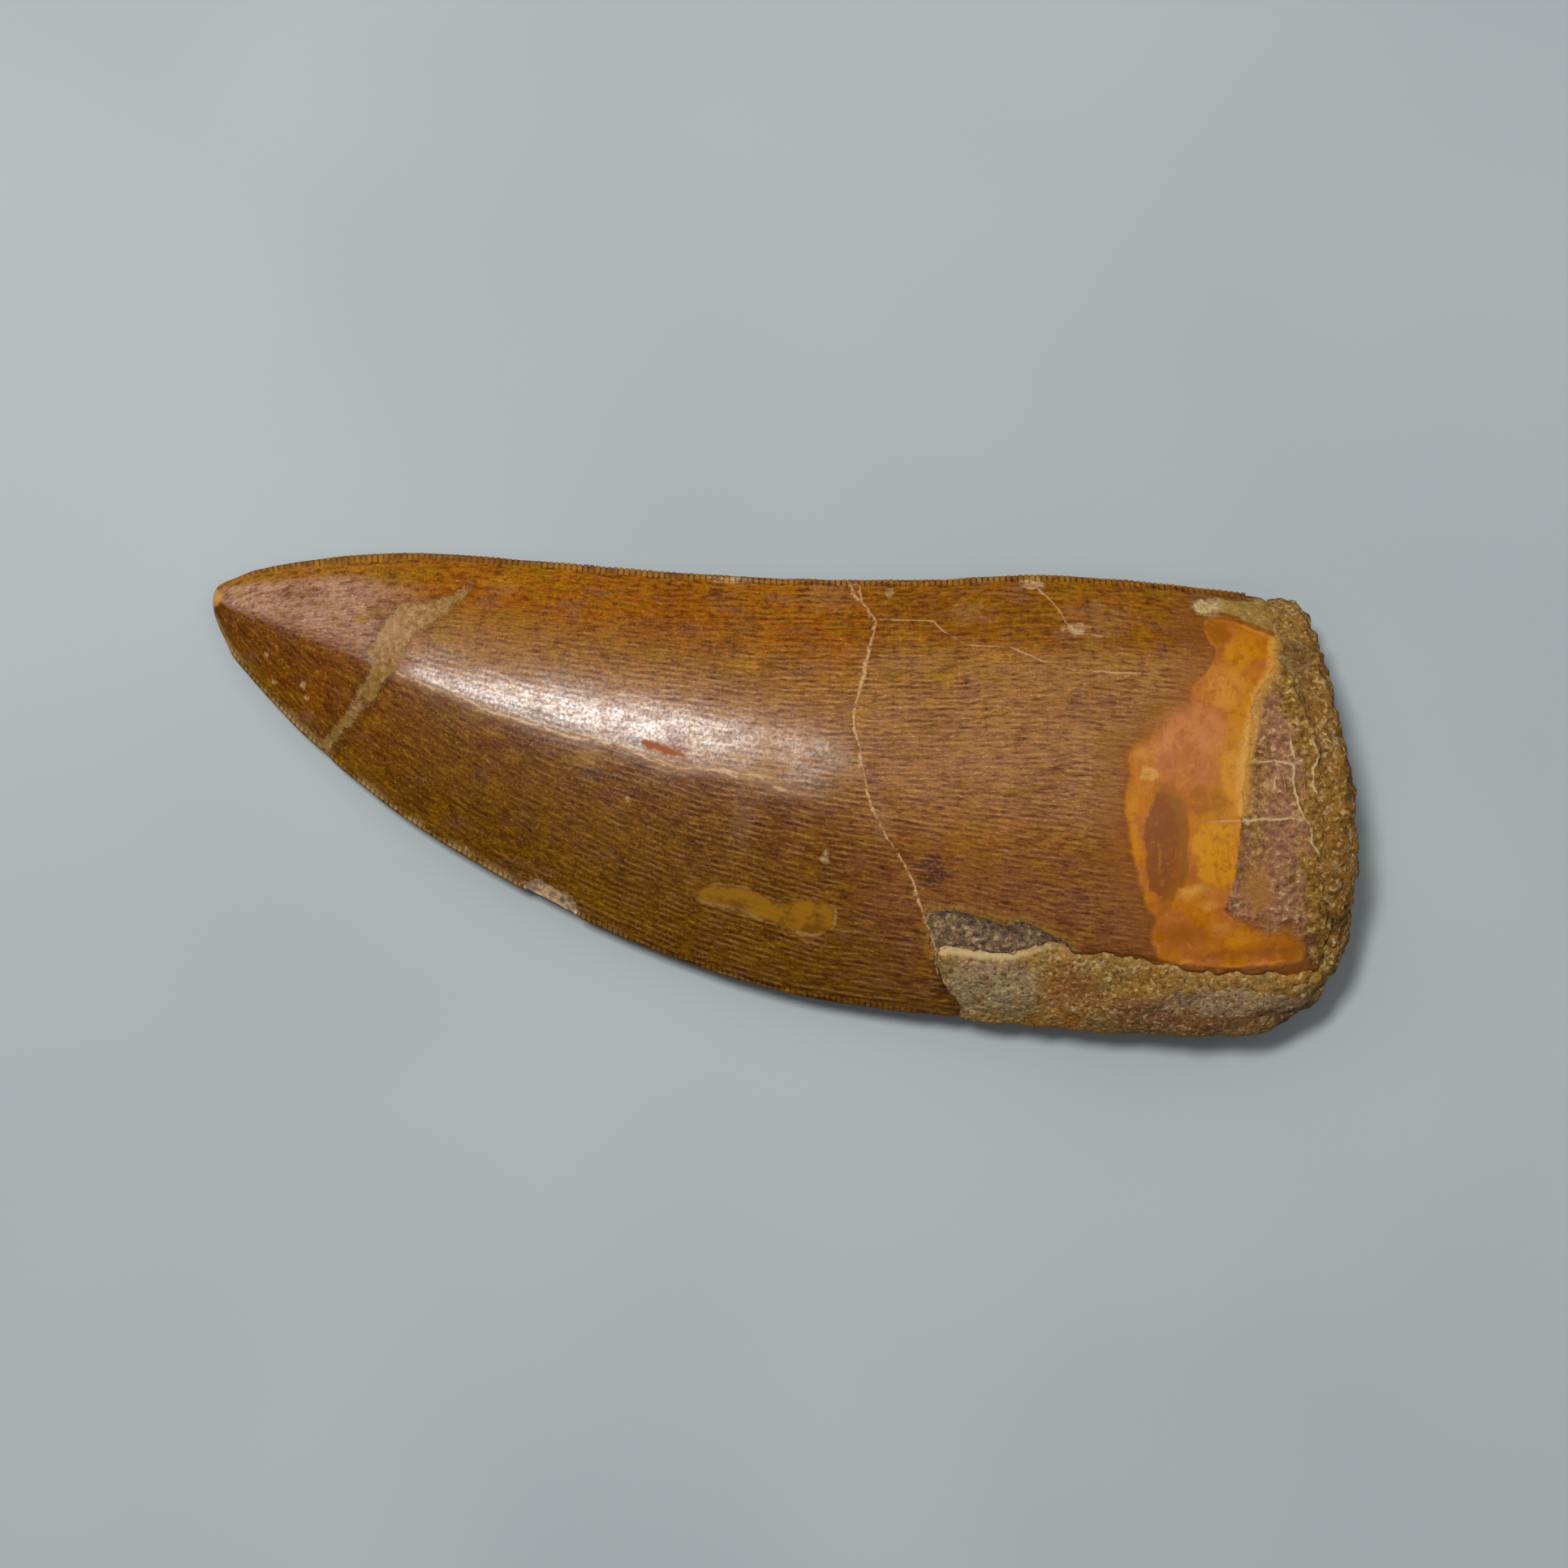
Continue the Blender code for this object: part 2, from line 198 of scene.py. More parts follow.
class Skin:
    """A grid rolled into a closed skin, with each point's place on the form."""

    def __init__(self, name, spokes, rings, ring_gaps, base_share, start=0.0):
        bm = bmesh.new()
        bmesh.ops.create_grid(bm, x_segments=spokes, y_segments=rings, size=1)
        first = sorted((v for v in bm.verts if v.co.x < -GRID_RIM), key=lambda v: v.co.y)
        last = sorted((v for v in bm.verts if v.co.x > GRID_RIM), key=lambda v: v.co.y)
        joins = dict(zip(last, first))
        for pole, side in ((first[0], -1), (first[-1], 1)):
            joins.update({v: pole for v in bm.verts if v.co.y * side > GRID_RIM and v != pole})
        bmesh.ops.weld_verts(bm, targetmap=joins)
        self.mesh = bpy.data.meshes.new(name)
        bm.to_mesh(self.mesh)
        bm.free()
        flat = np.empty(len(self.mesh.vertices) * 3)
        self.mesh.vertices.foreach_get("co", flat)
        turn, climb = (flat.reshape(-1, 3)[:, :2].T + 1) / 2
        self.shown = turn < SHOWN_SHARE
        share = np.where(self.shown, turn / SHOWN_SHARE, (1 - turn) / (1 - SHOWN_SHARE))
        self.across = 0.55 * share + 0.45 * (0.5 - 0.5 * np.cos(math.pi * share))
        stations, gaps = np.array(ring_gaps).T
        fine = np.linspace(start, 1, 2000)
        density = np.cumsum(1 / np.interp(fine, stations, gaps))
        spaced = (density - density[0]) / (density[-1] - density[0])
        self.along = np.interp(climb / (1 - base_share), spaced, fine)
        self.inwards = np.clip((climb - (1 - base_share)) / base_share, 0, 1)

    def points(self, raised):
        """Where the skin's points lie when each is raised by so many millimetres."""
        place = form(self.along, self.across, self.shown, raised)
        on_base = self.inwards > 0
        rim = form(np.ones(on_base.sum()), self.across[on_base], self.shown[on_base], raised[on_base])
        middle = form(np.ones(1), np.array([0.5]), np.array([True]))[0] * (1, 1, 0)
        keep = (1 - self.inwards[on_base])[:, None]
        place[on_base] = middle + (rim - middle) * keep
        place[on_base, 0] += BASE_DOME * (1 - keep[:, 0] ** 7) + raised[on_base] * smooth(keep[:, 0], 1, 0.9)
        return place


# How far apart the rings are, in millimetres, at shares of the way along.
CROWN_GAPS = (
    (0.0, 0.4), (0.14, 0.4), (0.17, 0.8), (0.5, 0.8), (0.52, 0.35), (0.63, 0.35), (0.65, 0.6), (0.73, 0.6),
    (0.75, 0.3), (1.0, 0.3),
)
crown = Skin("crown", spokes=330, rings=300, ring_gaps=CROWN_GAPS, base_share=0.05)
print("crown skin:", len(crown.mesh.vertices), "points,", len(crown.mesh.polygons), "faces")

# %% [markdown]
# ## Places on the flanks
#
# Cracks, chips and patches of bare dentine are lines and outlines drawn on the flank, seen square on.
# For each point of a skin, small functions work out how deep it lies inside an outline, or how far it
# is from a line, in millimetres. Such a distance is smooth, so it can sink the surface by just the
# depth of the enamel, and it can also be stored on the points for the finish, which frays it with
# noise: the border then comes out far finer than the mesh. A distance to a line is stored with a sign
# for its side, because only a value that passes through nought keeps a thin crack unbroken between
# two points of the mesh.

# %% Distances
def off_lines(places, lines):
    """Distance of each place to the nearest of some lines: with a sign for the side, and without."""
    nearest, side = np.full(len(places), 50.0), np.ones(len(places))
    for line in lines:
        for a, b in zip(np.array(line[:-1], float), np.array(line[1:], float)):
            run, to = b - a, places - a
            along = np.clip((to @ run) / (run @ run), 0, 1)
            apart = np.linalg.norm(to - along[:, None] * run, axis=1)
            closer = apart < nearest
            nearest = np.where(closer, apart, nearest)
            side = np.where(closer, np.sign(run[0] * to[:, 1] - run[1] * to[:, 0]), side)
    return np.column_stack([nearest * side, nearest, np.zeros(len(places))])


def depth_in(places, outline):
    """Distance of each place to an outline: positive inside it, negative outside."""
    x, y = places.T
    rim = [tuple(corner) for corner in smooth_line(outline + outline[:1], places=len(outline) * 5)]
    inside = np.zeros(len(places), bool)
    for (ax, ay), (bx, by) in zip(rim[:-1], rim[1:]):
        if ay != by:
            inside ^= ((ay > y) != (by > y)) & (x < (bx - ax) * (y - ay) / (by - ay) + ax)
    edge = off_lines(places, [rim])[:, 1]
    return np.where(inside, edge, -edge)


def roughness(points, size, octaves=3):
    """Fractal noise at points, about -1 to 1, with features of that size in millimetres."""
    return np.array([noise.fractal(point, 0.8, 2.1, octaves) for point in points / size])


# The line between enamel and sandstone, closed far outside the tooth.
ROCK = (
    (82.6, -52.0), (82.4, -45.3), (81.3, -43.4), (80.0, -40.5), (80.2, -38.8), (83.9, -39.3), (87.7, -39.4),
    (90.9, -38.7), (92.5, -38.1), (95.1, -38.8), (97.7, -38.6), (100.2, -39.2), (102.8, -39.9),
    (105.4, -40.5), (107.9, -40.8), (110.8, -41.0), (114.0, -41.0), (118.8, -40.8), (122.1, -40.4),
    (123.0, -39.0), (122.4, -36.0), (121.6, -32.7), (120.9, -29.6), (121.5, -27.0), (121.6, -24.0),
    (120.8, -21.7), (121.3, -17.6), (120.6, -14.6), (119.4, -11.3), (118.8, -9.4), (117.4, -6.5),
    (117.6, -4.7), (117.0, -3.1), (116.6, -1.6), (116.4, 0.6), (116.4, 9.0), (140.0, 9.0), (140.0, -56.0),
)
probe = np.array([[60.0, -20.0], [100.0, -45.0]])
print("depth in the rock's outline at", probe.tolist(), "is", depth_in(probe, ROCK).round(1), "mm")

# %% [markdown]
# ## The crown
#
# On the real tooth the enamel is a skin less than half a millimetre thick over the dentine. It has
# scaled off near the base and left a smooth amber window, and beside it the dentine itself is worn
# rough. The tip was once broken off and set back with sand in the joint. All of these are lower than
# the enamel round them, so they are real relief here: the material only has to colour them.

# %% What is on the flank that shows
AMBER_DEPTH = 0.28
AMBER = (
    (109.2, -2.1), (111.7, -2.0), (115.5, -3.4), (117.1, -4.7), (116.4, -8.1), (114.6, -10.3), (113.7, -14.5),
    (113.3, -18.2), (112.7, -24.8), (112.0, -30.8), (111.5, -32.8), (111.0, -34.0), (112.4, -35.0),
    (115.8, -35.9), (118.6, -36.6), (119.8, -37.8), (119.0, -39.6), (115.0, -40.2), (110.8, -40.3),
    (107.3, -40.2), (104.4, -39.6), (103.2, -37.4), (103.4, -34.9), (102.6, -33.8), (101.7, -31.0),
    (100.6, -26.5), (100.0, -22.6), (100.4, -19.5), (100.2, -17.5), (101.9, -15.7), (104.5, -13.5),
    (107.0, -11.6), (107.9, -9.4), (109.2, -7.8), (110.5, -5.6), (109.4, -4.3),
)
BARE_DENTINE = (
    (116.2, -2.6), (117.0, -4.7), (116.3, -8.1), (114.5, -10.3), (113.6, -14.5),
    (113.2, -18.2), (112.6, -24.8), (111.9, -30.8), (111.4, -32.8), (110.9, -34.0),
    (112.3, -35.0), (115.8, -35.9), (118.6, -36.4), (119.9, -38.0), (120.4, -39.6),
    (124.5, -39.6), (125.5, -20.0), (122.0, -8.0), (119.0, -2.0),
)
SANDY_CORNER = (
    (107.6, -0.6), (110.0, 0.2), (113.0, 0.2), (119.0, 0.2), (119.0, -4.0), (115.6, -3.1), (111.7, -1.7),
    (108.8, -2.0),
)
DARK_HOLLOW = (
    (79.0, -34.6), (82.9, -34.1), (86.7, -35.2), (89.3, -35.2), (92.2, -36.7), (94.5, -38.0), (94.0, -39.6),
    (87.7, -40.4), (83.9, -40.4), (80.0, -39.6), (79.2, -37.0),
)
GOLD_CHIP = (
    (53.7, -32.3), (54.7, -31.4), (57.3, -31.3), (59.9, -31.9), (61.9, -32.9), (63.7, -33.1), (66.5, -32.8),
    (68.3, -33.3), (68.9, -34.5), (68.3, -36.3), (66.5, -36.7), (64.2, -36.4), (61.9, -35.6), (59.6, -34.5),
    (57.3, -33.9), (54.1, -33.0),
)
EDGE_CHIP = (
    (34.6, -31.5), (35.8, -30.8), (37.4, -31.3), (39.0, -32.3), (40.3, -33.7), (40.0, -36.0), (35.0, -34.5),
)
TIP_JOINT = (
    (29.0, 1.8), (26.4, 0.2), (23.7, -0.3), (21.2, -0.4), (20.0, -1.9), (18.9, -3.8),
    (17.9, -5.2), (18.0, -7.0),
    (17.3, -9.3), (15.8, -11.6), (14.2, -13.7), (12.6, -15.4), (11.0, -18.0), (12.4, -18.6), (13.6, -15.9),
    (15.2, -13.9), (17.0, -12.1), (18.6, -10.2), (19.8, -8.3), (21.3, -6.6), (22.1, -4.5), (23.7, -3.1),
    (26.0, -1.3), (28.7, 1.2),
)
BASE_CRACK = (
    (70.2, 3.0), (71.0, 0.6), (72.4, -1.0), (73.3, -2.4), (72.8, -4.7), (72.3, -7.0), (72.1, -8.3),
    (71.0, -11.6), (70.8, -13.8), (71.4, -16.1), (71.7, -18.4), (72.3, -21.1), (73.1, -23.4), (74.4, -26.1),
    (75.7, -28.0), (77.3, -30.8), (78.4, -34.5), (79.4, -37.2), (80.1, -40.4),
)
FINE_CRACKS = (
    ((73.7, -2.2), (79.7, -2.4), (80.6, -3.4), (82.4, -4.7), (83.4, -5.1), (88.2, -5.4), (89.6, -6.0)),
    ((89.6, -6.0), (91.0, -6.7), (93.0, -7.5), (95.1, -8.0), (98.1, -8.1), (103.0, -8.4)),
    ((90.0, 3.0), (91.1, 1.5), (92.5, 0.1), (93.7, -1.4), (94.1, -2.6), (95.3, -3.8), (98.1, -4.2)),
    ((70.8, 1.7), (71.6, 1.7), (71.9, -0.1)),
    ((109.0, -24.4), (112.8, -24.2)),
    ((41.0, -14.8), (47.4, -16.4), (51.1, -17.8), (54.3, -18.5)),
)
RED_FLECK = ((48.2, -15.9), (52.6, -17.3))
AMBER_STEP = (
    (104.0, -20.4), (105.4, -20.7), (106.4, -22.3), (106.7, -25.5), (106.0, -28.6), (105.4, -31.8),
    (104.8, -33.8), (103.7, -34.6), (103.4, -35.2),
)
AMBER_RIM = ((117.0, -4.6), (116.5, -7.9), (114.7, -10.6), (113.7, -14.4), (113.0, -18.2), (112.7, -23.0))
VEINS = (
    (
        (118.0, -15.7), (118.3, -17.6), (118.2, -19.8), (118.7, -22.3), (119.4, -24.2), (120.1, -25.2),
        (120.2, -26.7), (121.2, -28.3),
    ),
    ((120.4, -15.7), (121.0, -17.3), (120.4, -18.8), (120.2, -20.4), (121.0, -21.7)),
    ((112.8, -24.2), (117.1, -24.0), (119.0, -24.2), (119.4, -24.4)),
    ((114.6, -17.9), (117.1, -17.9), (118.0, -18.2)),
    ((116.4, -18.5), (116.1, -20.7)),
)
print("amber window:", len(AMBER), "corners;", len(VEINS), "calcite veins")

# %% Lay the tooth down
# It lies as its solids do: the tip dips a little, and the flank that it rests on is worn flat.
REST_PITCH = math.radians(3.4)
REST_FLAT = 0.3
DENTICLE_HEIGHT = 0.35
TURN = np.array(Matrix.Rotation(-REST_PITCH, 3, "Y"))
tooth_low, tooth_high = (np.array(corner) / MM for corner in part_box("tooth"))
turned = crown.points(np.zeros(len(crown.along))) @ TURN.T
SHIFT = np.array([
    tooth_low[0] - turned[:, 0].min(),
    tooth_high[1] - DENTICLE_HEIGHT - turned[:, 1].max(),
    -REST_FLAT - turned[:, 2].min(),
])


def lay_down(points):
    """The tooth's own millimetres as the frame's metres, with nothing below the floor or outside the box."""
    placed = (points @ TURN.T + SHIFT) * MM
    return np.clip(placed, np.array(cad_box[0]), np.array(cad_box[1]))


print("the tooth is shifted by", SHIFT.round(2), "mm")

# %% Finish a mesh as a piece
def make_piece(mesh, points, **stored):
    """An object at the origin whose points carry their place on the tooth and the other stored values."""
    mesh.vertices.foreach_set("co", lay_down(points).ravel())
    if "spot" in stored:
        raise ValueError("spot is the name under which the places are stored")
    stored["spot"] = points
    for name, values in stored.items():
        vector = values.ndim == 2
        layer = mesh.attributes.new(name, "FLOAT_VECTOR" if vector else "FLOAT", "POINT")
        layer.data.foreach_set("vector" if vector else "value", values.astype(np.float32).ravel())
    mesh.shade_smooth()
    mesh.update()
    piece = bpy.data.objects.new(mesh.name, mesh)
    bpy.context.scene.collection.objects.link(piece)
    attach(piece, "root")
    return piece


def normals_of(mesh, points):
    """The way out of a closed mesh at each of its points, if they lay there."""
    mesh.vertices.foreach_set("co", points.ravel())
    mesh.update()
    way = np.empty(len(points) * 3)
    mesh.vertex_normals.foreach_get("vector", way)
    return way.reshape(-1, 3)


# %% [markdown]
# ## The lines of the enamel
#
# Fine lines run the whole length of the crown, about three to each two millimetres. They start out
# beside the rear edge, follow it, and lean more and more towards the front edge. Their pitch stays the
# same everywhere, so they can't be drawn as a fan from the tip. Instead there are several families of
# straight lines, eight degrees apart, and each place takes the two whose lean is nearest to its own.
# Where two families cross, they break each other up into the short dashes that real enamel shows.
# The lean is worked out here for every point and stored. The mesh takes low ridges from it and the
# finish takes the colour of the lines, so the two can't slip apart.

# %% Lean of the lines
LINE_PITCH = 0.64
LEAN_STEP = 8
LEANS = range(-16, 73, LEAN_STEP)
LOWER_LEAN = 8


def lean_of(line, share):
    """How many degrees a line drops towards the base at shares of its length."""
    run = read(line, share + 0.01) - read(line, share - 0.01)
    return -np.degrees(np.arctan2(run[:, 1], run[:, 0]))


def uprights(angle):
    """The direction across a family of lines, as long as one over their pitch."""
    turn = math.radians(angle)
    return math.sin(turn) / LINE_PITCH, math.cos(turn) / LINE_PITCH, 0


smooth_skin = crown.points(np.zeros(len(crown.along)))
on_flank = smooth_skin[:, :2]
span = np.linalg.norm(read(front_line, crown.along) - read(rear_line, crown.along), axis=1)
off_edge = np.minimum(crown.across, 1 - crown.across) * span
turned_over = smooth(crown.across, 0.08, 0.92)
lean = lean_of(rear_line, crown.along) * (1 - turned_over) + lean_of(front_line, crown.along) * turned_over
lean += (
    LOWER_LEAN * smooth(crown.across, 0.4, 0.65) * smooth(crown.across, 1, 0.8)
    * smooth(crown.along, 0.45, 0.75)
)
lean = np.clip(lean + 2 * roughness(smooth_skin, 8), LEANS[0], LEANS[-1])
bend = 0.7 * roughness(smooth_skin * (1, 2, 1), 7)
grain = np.column_stack([
    crown.along * length_of(front_line),
    off_edge,
    6 * smooth(crown.across, 0.4, 0.6) + np.where(crown.shown, 0, 40)
])
ridges = np.zeros(len(lean))
for angle in LEANS:
    share = np.clip(1 - np.abs(lean - angle) / LEAN_STEP, 0, 1)
    ridges += share * np.sin((smooth_skin @ uprights(angle) + bend) * 2 * math.pi)
print("the lines lean from", round(lean.min()), "to", round(lean.max()), "degrees")

# %% [markdown]
# The serrations are counted along each edge, from the first denticle to the last.

# %% Count the denticles
DENTICLE_PITCH = 0.65
REAR_SAW = (0.035, 0.955)
FRONT_SAW = (0.05, 0.66)


def denticles(line, ends):
    return round((ends[1] - ends[0]) * length_of(line) / DENTICLE_PITCH)


def counted(line, ends):
    """How many denticles there are up to each of the crown's points."""
    return (crown.along - ends[0]) / (ends[1] - ends[0]) * denticles(line, ends)


near_rear = crown.across < 0.5
saw_count = np.where(near_rear, counted(rear_line, REAR_SAW), counted(front_line, FRONT_SAW))
in_saw = (
    np.where(near_rear, crown.along < REAR_SAW[1], crown.along < FRONT_SAW[1])
    * smooth(crown.along, 0.03, 0.05)
)
print("denticles:", denticles(rear_line, REAR_SAW), "and", denticles(front_line, FRONT_SAW))

# %% Depths and distances over the crown
fray = roughness(smooth_skin, 2.2)
grit = roughness(smooth_skin, 0.9, 2)
on_shown = np.where(crown.shown, 0, -50)


def field(outline, frayed):
    """How deep the crown's points are inside an outline on the flank that shows."""
    return depth_in(on_flank, outline) + frayed * fray + on_shown


rock_depth = depth_in(on_flank, ROCK) + (0.15 + 0.5 * smooth(on_flank[:, 0], 114, 118)) * fray
amber = field(AMBER, 0.32)
dentine = field(BARE_DENTINE, 0.35)
corner = field(SANDY_CORNER, 0.4)
hollow = field(DARK_HOLLOW, 0.5)
chip = field(GOLD_CHIP, 0.15)
nick = field(EDGE_CHIP, 0.55)
joint = depth_in(on_flank, TIP_JOINT) + 0.3 * fray
crack = off_lines(on_flank, [BASE_CRACK])
cracks = off_lines(on_flank, FINE_CRACKS) - on_shown[:, None]
step = off_lines(on_flank, [AMBER_STEP]) - on_shown[:, None]
rim = off_lines(on_flank, [AMBER_RIM]) - on_shown[:, None]
fleck = off_lines(on_flank, [RED_FLECK]) - on_shown[:, None]
veins = off_lines(on_flank, VEINS) - on_shown[:, None]
print("points in the amber window:", (amber > 0).sum(), "and in the rough dentine:", (dentine > 0).sum())

# %% [markdown]
# ## Marks on the enamel
#
# What makes one tooth different from the next is its marks: stained patches, scuffs, gold streaks and
# specks of lime. Each kind is a few soft spots, and the points store how far inside the nearest one
# they are, 1 at its middle and 0 at its edge. The finish shakes that with noise before it cuts it, so
# that none of them comes out as a plain ellipse.

# %% Marks
MARKS = {
    "bruise": (((79.4, -29.7), (2.5, 2.2)), ((42.1, -18.9), (1.3, 1.0))),
    "stain": (
        ((42.1, -18.7), (2.2, 1.6)), ((43.8, -21.9), (1.7, 1.5)),
        ((58.8, -2.6), (2.6, 1.6)), ((62.5, -6.8), (2.2, 1.5)), ((89.4, -31.0), (3.5, 1.8)),
        ((107.0, -3.5), (1.8, 2.6)), ((84.0, -9.8), (3.0, 0.9)), ((25.5, -5.9), (1.8, 1.1)),
    ),
    "gold": (
        ((33.0, 2.1), (4.6, 0.9)), ((41.9, -17.3), (3.4, 1.1)), ((58.8, -6.9), (3.2, 1.5)),
        ((80.8, -8.7), (3.0, 0.8)), ((79.7, -11.6), (1.6, 0.7)), ((60.5, -18.6), (4.8, 1.6)),
        ((71.7, -12.8), (1.3, 1.7)), ((86.0, -6.4), (3.0, 0.9)), ((76.0, -4.1), (3.0, 0.8)),
    ),
    "scuff": (
        ((58.7, -23.9), (1.6, 4.8)), ((68.3, 0.4), (3.4, 2.2)), ((97.5, -2.4), (5.0, 2.8)),
        ((73.9, -24.2), (1.5, 3.6)), ((83.5, -1.5), (2.6, 1.6)), ((32.2, 1.0), (2.6, 0.9)),
    ),
    "lime": (
        ((67.7, -28.2), (0.6, 0.9)), ((46.0, -21.8), (0.6, 0.5)), ((27.8, -27.4), (0.7, 0.5)),
        ((32.2, -30.4), (0.7, 0.5)), ((10.2, -9.5), (0.5, 0.6)), ((10.6, -10.8), (0.35, 0.4)),
        ((6.2, -6.0), (0.35, 0.5)), ((74.9, 0.8), (0.6, 0.8)),
        ((90.6, 1.9), (1.5, 0.8)), ((95.2, -3.4), (1.6, 0.8)), ((22.0, -1.6), (1.1, 1.0)),
        ((57.4, 2.4), (2.6, 0.8)), ((109.9, -1.0), (2.2, 1.3)), ((6.9, -9.0), (0.4, 0.4)),
    ),
}


def inside_spots(spots):
    """1 at the middle of the nearest soft spot, 0 at its edge and less outside it."""
    off = [np.linalg.norm((on_flank - centre) / radii, axis=1) for centre, radii in spots]
    return 1 - np.min(off, axis=0) + on_shown


marks = {kind: inside_spots(spots) for kind, spots in MARKS.items()}
print("marks:", {kind: len(spots) for kind, spots in MARKS.items()})

# %% Carve the crown
under_rock = smooth(rock_depth, -0.1, 1.2)
crown_skin = crown.points(-1.7 * under_rock)
crown_way = normals_of(crown.mesh, crown_skin)
lowered = AMBER_DEPTH * smooth(amber, -0.5, 0.4)
in_step = smooth(step[:, 0], 0.15, -0.15) * smooth(step[:, 1], 3.4, 2.2) * smooth(amber, 0, 0.4)
lowered -= 0.10 * in_step
in_dentine = smooth(np.maximum(dentine, corner), -0.6, 0.8)
lowered = np.maximum(lowered, AMBER_DEPTH * smooth(np.maximum(dentine, amber), -0.5, 0.4))
lowered += (0.08 - 0.16 * grit - 0.22 * fray) * in_dentine
lowered = np.maximum(lowered, (0.8 + 0.35 * grit) * smooth(hollow, -0.3, 1.0))
lowered = np.maximum(lowered, (0.13 + 0.03 * fray) * smooth(chip, -0.3, 0.4))
lowered = np.maximum(lowered, (0.35 + 0.14 * grit) * smooth(nick, -0.3, 1.0))
lowered = np.maximum(lowered, (0.09 + 0.07 * grit) * smooth(joint, -0.5, 0.3))
lowered += 0.04 * (1 - smooth(crack[:, 1], 0.05, 0.4))
lowered += 0.5 * smooth(rock_depth, -0.9, 0) * smooth(fray, -0.2, 0.5) * smooth(on_flank[:, 1], -35, -38)
raised = 0.14 * (1 - smooth(veins[:, 1], 0.15, 0.4)) * in_dentine
whole = (1 - smooth(amber, -0.2, 0.1)) * (1 - in_dentine) * (1 - smooth(joint, -0.3, 0.1))
raised += 0.008 * ridges * whole
raised += 0.14 * (1 - smooth(off_edge, 0.1, 0.35)) * in_saw
swells = 0.07 * roughness(smooth_skin, 11, 2) + 0.02 * fray
crown_points = crown_skin + crown_way * (raised + swells - lowered)[:, None]
crown_piece = make_piece(
    crown.mesh, crown_points,
    grain=grain, lean=lean, bend=bend, across=crown.across, amber=amber, dentine=dentine,
    corner=corner, hollow=hollow, chip=chip, nick=nick, joint=joint, crack=crack, cracks=cracks, step=step,
    rim=rim, fleck=fleck, veins=veins, rock=rock_depth,
    saw=np.column_stack([saw_count, off_edge, in_saw]), **marks,
)
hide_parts("tooth")
print(
    "crown box in mm:",
    (lay_down(crown_points).min(0) / MM).round(1), (lay_down(crown_points).max(0) / MM).round(1),
)

# %% [markdown]
# ## The serrations
#
# Each cutting edge is a saw of chisel-ended denticles, 15 or so to the centimetre. One is a small
# cube, narrowed outwards, and all of them are bevelled in one go. Real ones are worn by biting, so
# their lengths differ a little. They are lower by the tip, and gone where the edge is chipped. They are
# pieces of their own because they are far finer than the rings of the crown, but they grow out of its
# edge.

# %% Saw both edges
DENTICLE_ROOT = 0.9
DENTICLE_WIDTH = 0.53
DENTICLE_DEPTH = 0.6
REAR_REACH = 0.22
FRONT_REACH = 0.08
# The stretch of each edge that has lost its denticles, in millimetres from the tip.
REAR_GAP = (57.2, 58.6)
FRONT_GAP = (34.4, 40.4)


def saw(name, line, outward_side, ends, reach, gap):
    """Denticles along an edge between two shares of its length. outward_side is +1 or -1."""
    bm = bmesh.new()
    count, standing = denticles(line, ends), 0
    for i in range(count):
        share = ends[0] + (ends[1] - ends[0]) * (i + 0.5) / count
        x, y = read(line, share)
        if gap[0] < x < gap[1]:
            continue
        standing += 1
        ahead = Vector(read(line, share + 0.003) - read(line, share - 0.003)).normalized()
        outward = Vector((-ahead.y, ahead.x, 0)) * outward_side
        wear = noise.noise((x * 0.3, y, 0)) * 0.12 + noise.noise((x * 3.7, y, 5)) * 0.06
        length = DENTICLE_ROOT + (reach + wear) * (0.35 + 0.65 * smooth(x, 4, 26))
        middle = Vector((x, y, 0)) + outward * (length / 2 - DENTICLE_ROOT)
        turn = Matrix((outward, (ahead.x, ahead.y, 0), (0, 0, 1))).transposed().to_4x4()
        size = Matrix.Diagonal((length, DENTICLE_WIDTH, DENTICLE_DEPTH, 1))
        made = bmesh.ops.create_cube(bm, size=1, matrix=Matrix.Translation(middle) @ turn @ size)
        for vert in made["verts"]:
            if (vert.co - middle).dot(outward) > 0:
                vert.co.z *= 0.5
    bmesh.ops.bevel(
        bm, geom=bm.edges[:], offset=0.1, offset_type="OFFSET", segments=2, profile=0.5, affect="EDGES",
        material=-1,
    )
    mesh = bpy.data.meshes.new(name)
    bm.to_mesh(mesh)
    bm.free()
    points = np.empty(len(mesh.vertices) * 3)
    mesh.vertices.foreach_get("co", points)
    piece = make_piece(mesh, points.reshape(-1, 3))
    print(name, "has", standing, "denticles left of", count)
    return piece


rear_denticles = saw("rear_denticles", rear_line, 1, REAR_SAW, REAR_REACH, REAR_GAP)
front_denticles = saw("front_denticles", front_line, -1, FRONT_SAW, FRONT_REACH, FRONT_GAP)

# %% [markdown]
# ## The sandstone
#
# Desert sandstone is cemented over the broken base and fills the place of a lost corner. It is one
# lump of rock that stands a little proud of the enamel. The same form makes it: raised where there
# is rock and sunk well below the crown elsewhere, so that the two meet in a natural crevice. Lumps,
# crumbs and grains are three sizes of noise, strongest at the end, where the rock was broken off.

